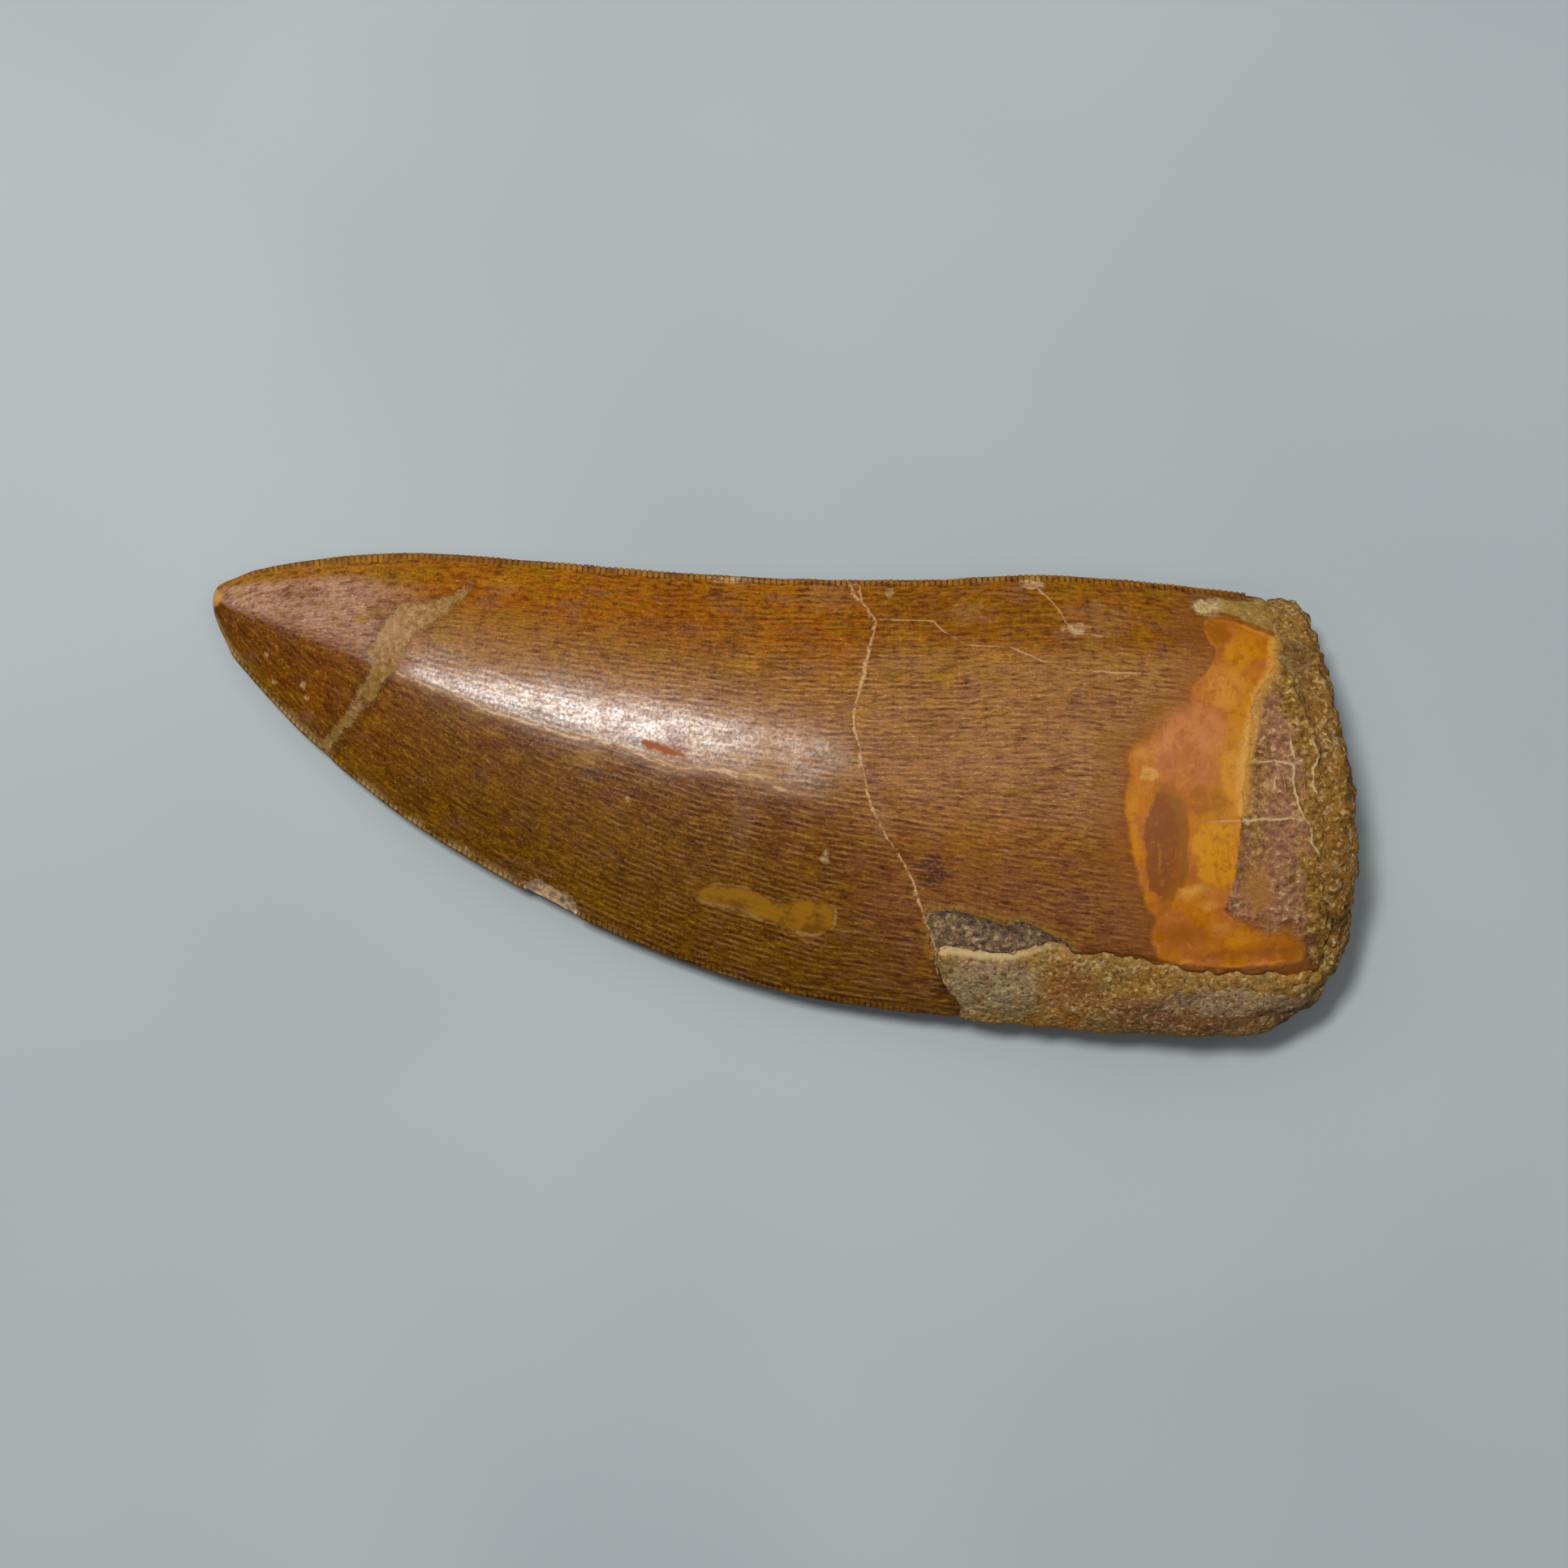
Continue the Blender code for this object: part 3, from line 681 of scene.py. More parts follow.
# %% Grow the sandstone
ROCK_PROUD = 0.15
ROCK_GAPS = ((0.0, 0.5), (0.6, 0.5), (0.64, 0.3), (1.0, 0.3))
rock = Skin("sandstone", spokes=400, rings=240, ring_gaps=ROCK_GAPS, base_share=0.25, start=0.58)
rock_smooth = rock.points(np.zeros(len(rock.along)))
rock_fray = roughness(rock_smooth, 2.2)
rock_inside = depth_in(rock_smooth[:, :2], ROCK)
rock_inside += (0.15 + 0.5 * smooth(rock_smooth[:, 0], 114, 118)) * rock_fray
rock_shows = np.maximum(smooth(rock_inside, -0.6, 0.45), smooth(rock.inwards, 0, 0.02))
rock_skin = rock.points(ROCK_PROUD - 2.2 * (1 - rock_shows))
rock_way = normals_of(rock.mesh, rock_skin)
broken_end = smooth(rock_smooth[:, 0], 113, 120)
lumps = (0.3 + 0.3 * broken_end) * roughness(rock_smooth, 4.5, 3)
crumbs = (0.07 + 0.27 * broken_end) * roughness(rock_smooth, 1.6, 3)
grains = 0.05 * roughness(rock_smooth, 0.5, 2)
rock_relief = lumps + crumbs + grains
rock_points = rock_skin + rock_way * (rock_relief * rock_shows)[:, None]
rock_piece = make_piece(rock.mesh, rock_points, rock=rock_inside, relief=rock_relief)
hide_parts("sandstone_matrix")
print("sandstone:", len(rock.mesh.vertices), "points")

# %% [markdown]
# ## Writing finishes as sums
#
# A finish is a network of shader nodes. Drawing it by hand soon becomes a tangle, and so does code
# that links socket to socket. Here one small class stands for a node's output and lets Python's own
# signs add the Math nodes, and one method makes every other node from its type, its settings and the
# values of its sockets.

# %% Wires and finishes
class Wire:
    """An output of a shader node, which sums can use."""

    def __init__(self, finish, socket):
        self.finish, self.socket = finish, socket

    def maths(self, operation, *values):
        return self.finish.node("ShaderNodeMath", {"operation": operation}, dict(enumerate(values)))

    def __add__(self, other):
        return self.maths("ADD", self, other)

    def __sub__(self, other):
        return self.maths("SUBTRACT", self, other)

    def __rsub__(self, other):
        return self.maths("SUBTRACT", other, self)

    def __mul__(self, other):
        return self.maths("MULTIPLY", self, other)

    __radd__, __rmul__ = __add__, __mul__

    def __abs__(self):
        return self.maths("ABSOLUTE", self)

    def at_least(self, other):
        return self.maths("MAXIMUM", self, other)

    def wave(self):
        """A wave from -1 to 1, one for each whole number."""
        turned = self * (2 * math.pi)
        return self.maths("SINE", turned)

    def rise(self, low, high, start=0.0, end=1.0):
        """start where the wire is at low, end where it is at high, with an even slope between."""
        values = {"Value": self, 1: low, 2: high, 3: start, 4: end}
        return self.finish.node("ShaderNodeMapRange", {"interpolation_type": "SMOOTHSTEP"}, values)


class Finish:
    """A material that is being written."""

    def __init__(self, name):
        self.material = bpy.data.materials.new(name)
        self.material.use_nodes = True
        self.tree = self.material.node_tree
        self.tree.nodes.clear()

    def node(self, kind, settings=None, values=None, output=0):
        node = self.tree.nodes.new(kind)
        for name, value in (settings or {}).items():
            if name == "stops":
                while len(node.color_ramp.elements) < len(value):
                    node.color_ramp.elements.new(1.0)
                for element, (place, colour) in zip(node.color_ramp.elements, value):
                    element.position, element.color = place, (*colour, 1)
            else:
                setattr(node, name, value)
        for key, value in (values or {}).items():
            if isinstance(value, Wire):
                self.tree.links.new(value.socket, node.inputs[key])
            elif isinstance(value, tuple) and len(value) == 3 and node.inputs[key].type == "RGBA":
                node.inputs[key].default_value = (*value, 1)
            else:
                node.inputs[key].default_value = value
        return Wire(self, node.outputs[output])

    def stored(self, name):
        """A value that the mesh keeps on its points."""
        return self.node("ShaderNodeAttribute", {"attribute_name": name}, output="Fac")

    def vector(self, operation, a, b, output=0):
        return self.node("ShaderNodeVectorMath", {"operation": operation}, {0: a, 1: b}, output)

    def stored_vector(self, name, stretch=(1, 1, 1)):
        vector = self.node("ShaderNodeAttribute", {"attribute_name": name}, output="Vector")
        return self.vector("MULTIPLY", vector, stretch)

    def part(self, vector, axis):
        return self.node("ShaderNodeSeparateXYZ", None, {0: vector}, axis)

    def clouds(self, where, size, detail=2.0, rough=0.5, warp=0.0):
        """Noise from 0 to 1 with features of that size."""
        values = {
            "Vector": where, "Scale": 1 / size, "Detail": detail, "Roughness": rough, "Distortion": warp
        }
        return self.node("ShaderNodeTexNoise", None, values)

    def shaken(self, where, size, by):
        """Places moved about by noise."""
        values = {"Vector": where, "Scale": 1 / size, "Detail": 2.0}
        cloud = self.node("ShaderNodeTexNoise", None, values, "Color")
        return self.vector(
            "ADD", where, self.vector("MULTIPLY", self.vector("SUBTRACT", cloud, (0.5,) * 3), (by,) * 3)
        )

    def grains(self, where, size, output="Color"):
        """Grains of that size: a random colour for each, or the distance to its middle."""
        return self.node("ShaderNodeTexVoronoi", None, {"Vector": where, "Scale": 1 / size}, output)

    def ramp(self, value, *stops):
        return self.node("ShaderNodeValToRGB", {"stops": stops}, {"Fac": value})

    def near(self, where, centre, radii, inner=0.35):
        """A soft spot: 1 within that share of its radii and 0 past them."""
        apart = self.vector("SUBTRACT", where, (*centre, 0))
        far = self.vector(
            "LENGTH", self.vector("MULTIPLY", apart, (1 / radii[0], 1 / radii[1], 0)), (0, 0, 0), "Value"
        )
        return far.rise(1.0, inner)

    def line(self, name, width, soft, wander):
        """A thin line along a stored distance. wander is in millimetres and shifts it to either side."""
        stored = self.stored_vector(name)
        off = abs(self.part(stored, 0) + wander)
        return off.rise(width + soft, width) * self.part(stored, 1).rise(1.2, 0.8)

    def mix(self, mask, under, over, how="MIX"):
        values = {0: mask, 6: under, 7: over}
        return self.node("ShaderNodeMix", {"data_type": "RGBA", "blend_type": how}, values, 2)

    def blend(self, mask, under, over):
        """A number that goes from one to another as the mask rises."""
        return self.node("ShaderNodeMix", {"data_type": "FLOAT"}, {0: mask, 2: under, 3: over})

    def shader(self, colour, rough, height, **fixed):
        """A Principled shader. height is in millimetres, and fixed holds its other sockets."""
        bump = self.node("ShaderNodeBump", None, {"Height": height, "Distance": MM})
        values = {"Base Color": colour, "Roughness": rough, "Normal": bump}
        values.update({name.replace("_", " "): value for name, value in fixed.items()})
        return self.node("ShaderNodeBsdfPrincipled", None, values)

    def done(self, shader):
        end = self.tree.nodes.new("ShaderNodeOutputMaterial")
        self.tree.links.new(shader.socket, end.inputs["Surface"])
        return self.material


print("a finish is written as sums of wires")

# %% [markdown]
# ## Enamel
#
# The enamel's brown changes across the flank: gold beside the rear edge, a dull pinkish brown over the
# crest, deep brown below it and olive at the front. The pinkish brown over the crest is partly painted
# sheen, and the deep brown below it is partly painted shade on the side turned away from the window.
# It also changes from the tip to the base, so there are three ramps across, for the tip, the blade and
# the part by the base, each handing over to the next. Each line has a pale crest and a dark trough.
# Short dark streaks and grit cover all of it, and by the tip they nearly hide the lines. The surface
# has a low gloss, broken up by fine pits, which makes the highlight sparkle instead of lying on it
# like a sheet.

# %% Enamel colours
# Partly painted light: in each ramp the pale pinkish stretch just above the crest is partly painted sheen,
# and the deep brown just below the crest is partly painted shade; the rest is the enamel's own colour.
TIP_TONES_SHEEN_AND_SHADE = (
    (0.0, (0.30, 0.105, 0.003)), (0.09, (0.30, 0.12, 0.012)), (0.16, (0.43, 0.240, 0.150)),
    (0.41, (0.44, 0.245, 0.165)), (0.51, (0.18, 0.054, 0.003)), (0.8, (0.17, 0.050, 0.001)),
    (1.0, (0.14, 0.062, 0.002)),
)
BLADE_TONES_SHEEN_AND_SHADE = (
    (0.0, (0.31, 0.105, 0.001)), (0.13, (0.30, 0.086, 0.0005)), (0.21, (0.30, 0.110, 0.006)),
    (0.44, (0.33, 0.142, 0.042)), (0.51, (0.160, 0.047, 0.0005)), (0.72, (0.16, 0.057, 0.0005)),
    (1.0, (0.13, 0.051, 0.0005)),
)
BASE_TONES_SHEEN_AND_SHADE = (
    (0.0, (0.26, 0.088, 0.001)), (0.13, (0.25, 0.082, 0.001)), (0.19, (0.32, 0.140, 0.036)),
    (0.45, (0.31, 0.135, 0.044)), (0.60, (0.24, 0.082, 0.006)), (0.75, (0.20, 0.068, 0.022)),
    (1.0, (0.155, 0.058, 0.001)),
)
EDGE_OLIVE = (0.33, 0.21, 0.075)
CREST_TAN = (0.60, 0.36, 0.17)
LINE_PALE = (0.50, 0.27, 0.11)
SPECK_LIGHT = (1.6, 1.7, 2.2)
LINE_SHADE = (0.54, 0.44, 0.33)
STREAK_GOLD = (0.42, 0.20, 0.006)
SLOT_SHADE = (0.20, 0.13, 0.06)
ENAMEL_PURPLE = (0.20, 0.085, 0.050)
ENAMEL_RED = (0.22, 0.068, 0.010)
ENAMEL_OLIVE = (0.25, 0.125, 0.001)
MARK_TONES = {
    "bruise": ((0.085, 0.028, 0.020), 0.95),
    "stain": ((0.15, 0.050, 0.022), 0.4),
    "gold": ((0.52, 0.25, 0.010), 0.35),
    "scuff": ((0.40, 0.24, 0.14), 0.18),
    "lime": ((0.56, 0.39, 0.20), 0.7),
}


def enamel_lines(finish, spot, grain):
    """The wave of the lines, from -1 to 1, and how strongly they show."""
    bends = finish.clouds(finish.vector("MULTIPLY", grain, (0.30, 0.45, 1)), 1, 2, 0.6)
    kinks = finish.clouds(finish.vector("MULTIPLY", grain, (0.8, 1.1, 1)), 1, 2)
    wander = finish.stored("bend") * 0.45 + (bends - 0.5) * 0.4 + (kinks - 0.5) * 0.3
    lean = finish.stored("lean") + (finish.clouds(spot, 2.4, 3) - 0.5) * 14
    lines = 0
    for angle in LEANS:
        count = finish.vector("DOT_PRODUCT", spot, uprights(angle), "Value") + wander
        lines = lines + count.wave() * abs(lean - angle).rise(LEAN_STEP, 0)
    dashes = finish.clouds(finish.vector("MULTIPLY", grain, (0.45, 1.4, 1)), 1, 3, 0.7)
    return lines, dashes.rise(0.40, 0.60, 0.0, 1.0)


def enamel(finish):
    """Colour, roughness, height and shine of whole enamel."""
    spot, grain = finish.stored_vector("spot"), finish.stored_vector("grain")
    along = finish.part(spot, 0)
    drift = finish.clouds(spot, 9, 3)
    across = finish.stored("across") + (drift - 0.5) * 0.08
    colour = finish.mix(
        along.rise(15, 26), finish.ramp(across, *TIP_TONES_SHEEN_AND_SHADE), finish.ramp(across, *BLADE_TONES_SHEEN_AND_SHADE)
    )
    colour = finish.mix((along + (drift - 0.5) * 14).rise(64, 80), colour, finish.ramp(across, *BASE_TONES_SHEEN_AND_SHADE))
    patches = finish.clouds(finish.stored_vector("spot", (0.5, 1, 1)), 2.4, 4, 0.65)
    tint = across.rise(0.48, 0.62, 0.55, 0.34)
    colour = finish.mix(patches.rise(0.52, 0.66) * tint, colour, ENAMEL_PURPLE)
    colour = finish.mix(patches.rise(0.48, 0.34) * tint, colour, ENAMEL_OLIVE)
    colour = finish.mix(finish.clouds(spot, 6, 3, 0.6).rise(0.46, 0.64) * 0.4, colour, LINE_SHADE, "MULTIPLY")
    speckle = finish.clouds(spot, 0.36, 2, 0.7)
    fray = (finish.clouds(spot, 1.1, 4, 0.7) - 0.5) * 2.2
    for kind, (tone, strength) in MARK_TONES.items():
        mark = (finish.stored(kind) + fray).rise(0.0, 0.5)
        colour = finish.mix(mark * speckle.rise(0.3, 0.6, 0.4, 1.0) * strength, colour, tone)
    lines, strength = enamel_lines(finish, spot, grain)
    streaks = finish.clouds(finish.vector("MULTIPLY", grain, (0.45, 1.9, 1)), 1, 3, 0.65)
    fibres = finish.clouds(finish.vector("MULTIPLY", grain, (0.9, 4.0, 1)), 1, 2, 0.65)
    strength = (
        strength * (along + (drift - 0.5) * 12).rise(18, 60, 0.16, 0.85)
        * along.rise(66, 82, 1.0, 0.72)
    )
    colour = finish.mix(streaks.rise(0.50, 0.64) * 0.85, colour, LINE_SHADE, "MULTIPLY")
    colour = finish.mix(streaks.rise(0.46, 0.30) * 0.45, colour, STREAK_GOLD)
    pale = (
        lines.rise(0.2, 0.9) * strength
        * across.rise(0.12, 0.28, 0.2, 0.58) * across.rise(0.50, 0.62, 1.0, 0.6)
    )
    colour = finish.mix(pale, colour, LINE_PALE)
    colour = finish.mix(lines.rise(0.0, -0.8) * strength, colour, LINE_SHADE, "MULTIPLY")
    colour = finish.mix(fibres.rise(0.50, 0.66) * 0.8, colour, LINE_SHADE, "MULTIPLY")
    specks = finish.clouds(finish.vector("MULTIPLY", grain, (2.2, 4.5, 1)), 1, 2, 0.7).rise(0.54, 0.70)
    colour = finish.mix(specks * 0.95, colour, SPECK_LIGHT, "MULTIPLY")
    pits = finish.clouds(spot, 0.26, 2, 0.7).rise(0.54, 0.68) * along.rise(80, 40, 0.35, 0.8)
    colour = finish.mix(pits, colour, LINE_SHADE, "MULTIPLY")
    grit = speckle.rise(0.44, 0.32) * along.rise(80, 40, 0.2, 0.45)
    colour = finish.mix(grit, colour, STREAK_GOLD)
    flecks = finish.part(finish.stored_vector("saw"), 1).rise(1.2, 0.2) * across.rise(0.7, 0.9)
    colour = finish.mix(flecks * patches.rise(0.40, 0.54) * along.rise(48, 32) * 0.75, colour, EDGE_OLIVE)
    off_crest = abs(across - 0.505 + (patches - 0.5) * 0.06)
    crest = (
        off_crest.rise(0.008, 0.002) * streaks.rise(0.42, 0.56)
        + off_crest.rise(0.035, 0.005) * fibres * 0.5
    )
    colour = finish.mix(crest * along.rise(16, 22) * along.rise(72, 60) * 0.7, colour, CREST_TAN)
    saw = finish.stored_vector("saw")
    # Partly painted shade: the enamel between the roots of the denticles is darkened, standing for the shadow
    # in the notches as well as their darker enamel.
    slot_shade_and_tone = (finish.part(saw, 0) + 0.25).wave().rise(0.3, 0.95) * finish.part(saw, 1).rise(0.75, 0.35)
    colour = finish.mix(slot_shade_and_tone * finish.part(saw, 2) * 0.7, colour, SLOT_SHADE, "MULTIPLY")
    shine = speckle.rise(0.68, 0.32, 0.22, 0.85) * patches.rise(0.65, 0.45, 0.4, 1) * along.rise(15, 25)
    shine = shine * (along + (drift - 0.5) * 20).rise(74, 50) * finish.part(saw, 1).rise(4, 8)
    rough = 0.36 + along.rise(58, 84) * 0.14 + fibres * 0.08 + speckle * 0.14
    height = lines * strength * 0.007 + fibres * -0.006 + speckle * 0.026 + patches * 0.03
    return colour, rough, height, shine


DENTICLE_GOLD = (0.32, 0.135, 0.010)
DENTICLE_BROWN = (0.17, 0.062, 0.003)
DENTICLE_DARK = (0.15, 0.057, 0.004)
denticle_finish = Finish("serration enamel")
f = denticle_finish
spot = f.stored_vector("spot")
colour = f.mix(f.clouds(spot, 2.5, 3).rise(0.4, 0.62), DENTICLE_GOLD, DENTICLE_BROWN)
speckle = f.clouds(spot, 0.3, 2, 0.7)
colour = f.mix(f.part(spot, 1).rise(-1, -6), colour, DENTICLE_DARK)
colour = f.mix(speckle.rise(0.5, 0.7) * 0.5, colour, LINE_SHADE, "MULTIPLY")
denticle_enamel = f.done(f.shader(colour, 0.5, speckle * 0.04, Specular_IOR_Level=0.1))
for piece in (rear_denticles, front_denticles):
    piece.data.materials.append(denticle_enamel)
print("enamel is on", rear_denticles.name, "and", front_denticles.name)

# %% [markdown]
# ## What shows where the enamel is gone
#
# The crown's own finish starts as enamel and lays each patch over it: clear amber dentine, rough
# purple-brown dentine with pale calcite veins, sand in the joint of the tip and in the dark hollow,
# and a pale line where the skin of enamel is broken off. Each mask is a stored distance with noise
# added, cut at its border.

# %% Crown finish
CALCITE = (0.62, 0.44, 0.24)
AMBER_GOLD = (0.44, 0.140, 0.002)
AMBER_PEACH = (0.53, 0.205, 0.028)
AMBER_PINK = (0.47, 0.158, 0.045)
AMBER_ROSE = (0.40, 0.118, 0.022)
AMBER_BROWN = (0.21, 0.062, 0.011)
AMBER_DEEP = (0.28, 0.084, 0.002)
AMBER_OLIVE = (0.18, 0.072, 0.006)
AMBER_YELLOW = (0.54, 0.215, 0.003)
AMBER_CREAM = (0.57, 0.29, 0.05)
AMBER_HONEY = (0.46, 0.175, 0.002)
AMBER_SPOTS = (
    ((112.4, -14.0), (2.6, 10.0), AMBER_HONEY, 0.9, 0.5),
    ((110.2, -24.0), (3.4, 10.0), AMBER_HONEY, 0.8, 0.5),
    ((107.0, -14.0), (5.4, 4.0), AMBER_PINK, 1.0, 0.4), ((107.4, -18.8), (5.4, 3.0), AMBER_ROSE, 0.9, 0.4),
    ((111.0, -9.8), (3.2, 3.0), AMBER_PEACH, 0.9, 0.4), ((113.3, -6.0), (2.6, 2.2), AMBER_YELLOW, 0.7, 0.4),
    ((110.6, -3.8), (1.8, 2.0), AMBER_DEEP, 0.9, 0.6), ((101.9, -16.6), (2.4, 1.3), AMBER_PEACH, 0.6, 0.4),
    ((102.7, -19.3), (1.1, 1.0), AMBER_CREAM, 0.8, 0.7), ((104.5, -26.9), (2.7, 6.9), AMBER_OLIVE, 0.8, 0.8),
    ((104.0, -26.9), (2.1, 6.2), AMBER_BROWN, 1.0, 0.85),
    ((100.9, -26.5), (0.9, 6.6), AMBER_YELLOW, 0.5, 0.5),
    ((111.6, -19.6), (1.5, 3.2), AMBER_YELLOW, 0.8, 0.6), ((108.6, -22.2), (2.8, 2.0), AMBER_DEEP, 0.7, 0.5),
    ((109.9, -26.6), (2.7, 2.2), AMBER_YELLOW, 1.0, 0.75),
    ((107.2, -32.0), (2.4, 1.3), AMBER_CREAM, 0.85, 0.1),
    ((109.9, -29.4), (2.4, 2.4), AMBER_YELLOW, 0.9, 0.75),
    ((109.4, -33.4), (1.8, 0.8), AMBER_CREAM, 0.5, 0.1), ((110.4, -35.8), (2.2, 0.8), AMBER_CREAM, 0.3, 0.4),
    ((106.4, -36.6), (4.6, 2.4), AMBER_DEEP, 0.85, 0.0), ((112.2, -37.0), (2.6, 1.4), AMBER_YELLOW, 0.5, 0.4),
    ((117.0, -38.2), (5.0, 1.6), AMBER_BROWN, 0.75, 0.0), ((111.0, -38.9), (6.0, 0.9), AMBER_BROWN, 0.6, 0.0),
)
DENTINE_MOTTLE = (
    (0.0, (0.12, 0.050, 0.024)), (0.30, (0.24, 0.105, 0.050)), (0.45, (0.30, 0.130, 0.075)),
    (0.60, (0.36, 0.175, 0.070)), (0.78, (0.46, 0.27, 0.13)), (1.0, (0.66, 0.50, 0.32)),
)
DENTINE_DARK = (0.11, 0.042, 0.018)
DENTINE_GOLD = (0.37, 0.155, 0.034)
SAND_MOTTLE = (
    (0.0, (0.07, 0.030, 0.006)), (0.3, (0.16, 0.072, 0.012)), (0.6, (0.28, 0.145, 0.026)),
    (0.85, (0.46, 0.29, 0.08)), (1.0, (0.62, 0.47, 0.22)),
)
CORNER_SAND = (0.50, 0.31, 0.09)
CRYSTAL = (0.58, 0.44, 0.20)
HOLLOW_MOTTLE = (
    (0.0, (0.035, 0.022, 0.018)), (0.35, (0.12, 0.078, 0.055)), (0.6, (0.22, 0.13, 0.055)),
    (0.8, (0.38, 0.27, 0.15)), (1.0, (0.60, 0.48, 0.32)),
)
JOINT_MOTTLE = (
    (0.0, (0.11, 0.05, 0.014)), (0.35, (0.27, 0.140, 0.040)),
    (0.6, (0.40, 0.240, 0.100)), (1.0, (0.60, 0.43, 0.24)),
)
JOINT_OLIVE = (0.26, 0.155, 0.022)
JOINT_PEACH = (0.52, 0.30, 0.14)
CRACK_TAN = (0.56, 0.33, 0.15)
HOLLOW_RIM = (0.33, 0.175, 0.025)
CHIP_GOLD = (0.31, 0.133, 0.005)
CHIP_BROWN = (0.17, 0.064, 0.003)
CHIP_RIM = (0.42, 0.24, 0.07)
NICK_MOTTLE = (
    (0.0, (0.09, 0.07, 0.06)), (0.35, (0.22, 0.16, 0.12)),
    (0.6, (0.50, 0.30, 0.13)), (1.0, (0.70, 0.55, 0.36)),
)
FLECK_RED = (0.30, 0.075, 0.012)
TIP_YELLOW = (0.52, 0.27, 0.06)

crown_finish = Finish("tooth")
f = crown_finish
spot = f.stored_vector("spot")
fine = f.clouds(spot, 0.5, 3, 0.65)
coarse = f.clouds(spot, 1.8, 3, 0.6)
fuzz = coarse * 0.9 + fine * 0.5 - 0.7
colour, rough, height, shine = enamel(f)
fleck = f.stored_vector("fleck")
fleck_mask = (f.part(fleck, 1) + fuzz * 1.5).rise(0.55, 0.15)
colour = f.mix(fleck_mask * 0.9, colour, FLECK_RED)
# Painted shade: the enamel is darkened in a band along its border with the sandstone, low on the flank, where
# the crevice between them lies in shadow.
painted_crevice_shade = (f.stored("rock") + fuzz * 0.5).rise(-0.9, -0.1) * f.part(spot, 1).rise(-35, -38)
colour = f.mix(painted_crevice_shade * 0.75, colour, LINE_SHADE, "MULTIPLY")

faded = f.near(spot, (104.5, -13.0), (8.0, 7.5), 0.2).at_least(f.near(spot, (118.0, -36.8), (8.0, 3.6), 0.4))
near_amber = (f.stored("amber") + fuzz * 3).rise(-4.5, -0.8)
colour = f.mix(near_amber * 0.5, colour, ENAMEL_RED)
amber_in = f.stored("amber") + fuzz * (faded * 1.5 + 0.5)
by_blade = f.part(spot, 0).rise(107, 103) * 0.22
amber_mask = amber_in.rise(faded * -1.2 - by_blade - 0.08, faded * 1.2 + by_blade + 0.15)
glow = f.clouds(spot, 4.5, 3)
streaks = f.clouds(f.stored_vector("spot", (1, 0.35, 1)), 0.9, 4, 0.6)
shaken = f.shaken(f.shaken(spot, 2.6, 2.0), 0.7, 0.8)
amber_colour = f.mix(glow.rise(0.40, 0.60), AMBER_GOLD, AMBER_ROSE)
for centre, radii, tone, strength, inner in AMBER_SPOTS:
    amber_colour = f.mix(f.near(shaken, centre, radii, inner) * strength, amber_colour, tone)
amber_colour = f.mix(streaks.rise(0.50, 0.70) * 0.45, amber_colour, AMBER_DEEP)
amber_colour = f.mix(streaks.rise(0.44, 0.30) * 0.30, amber_colour, AMBER_PEACH)
amber_edge = amber_in.rise(0.0, 0.12) * amber_in.rise(0.6, 0.3) * coarse.rise(0.42, 0.55)
amber_colour = f.mix(amber_edge * 0.45, amber_colour, AMBER_PEACH)
rust = f.clouds(spot, 1.2, 4, 0.7)
amber_colour = f.mix(rust.rise(0.50, 0.66) * 0.55, amber_colour, AMBER_DEEP)
amber_colour = f.mix(rust.rise(0.44, 0.32) * 0.35, amber_colour, AMBER_PEACH)
amber_colour = f.mix(fine.rise(0.52, 0.75) * 0.25, amber_colour, AMBER_BROWN)
amber_colour = f.mix(f.line("step", 0.12, 0.35, fuzz * 0.8) * 0.6, amber_colour, AMBER_DEEP)
colour = f.mix(amber_mask, colour, amber_colour)
rough = f.blend(amber_mask, rough, 0.30 + streaks * 0.2)
height = f.blend(amber_mask, height, glow * 0.04 + streaks * 0.02)

by_foot = f.near(spot, (117.0, -36.4), (7.0, 3.0), 0.3)
dentine_in = f.stored("dentine").at_least(f.stored("corner")) + fuzz * (by_foot * 5 + 1.3)
dentine_mask = dentine_in.rise(-0.15 - by_foot, by_foot * 1.2 + 0.35)
mottle = f.clouds(spot, 0.7, 4, 0.75)
pebbles = f.part(f.grains(f.shaken(spot, 0.8, 0.7), 0.45), 0)
dentine_colour = f.ramp(pebbles * 0.35 + mottle * 2.0 - 0.70, *DENTINE_MOTTLE)
sand_colour = f.ramp(pebbles * 0.45 + mottle * 2.0 - 0.72, *SAND_MOTTLE)
by_rock = (f.stored("rock") + (coarse - 0.5) * 9).rise(-3.4, -1.2)
by_window = f.near(f.shaken(spot, 2.0, 3.0), (113.6, -20.0), (3.0, 16.0), 0.3) * coarse.rise(0.36, 0.52)
sandy = by_rock.at_least(by_window * 0.7).at_least(f.stored("corner").rise(-0.6, 0.3))
sand_colour = f.mix(f.stored("corner").rise(-1.0, 0.5) * 0.45, sand_colour, CORNER_SAND)
dentine_colour = f.mix(f.near(shaken, (114.4, -31.8), (2.6, 3.6), 0.3) * 0.9, dentine_colour, DENTINE_GOLD)
dentine_colour = f.mix(sandy, dentine_colour, sand_colour)
dentine_colour = f.mix(f.near(shaken, (120.2, -37.4), (2.0, 1.2), 0.3) * 0.8, dentine_colour, DENTINE_DARK)
crystals = f.near(f.shaken(spot, 1.0, 1.6), (109.9, -0.9), (2.3, 1.6), 0.5)
dentine_colour = f.mix(crystals * fine.rise(0.42, 0.56, 0.15, 1.0), dentine_colour, CRYSTAL)
colour = f.mix(dentine_mask, colour, dentine_colour)
rough = f.blend(dentine_mask, rough, 0.7)
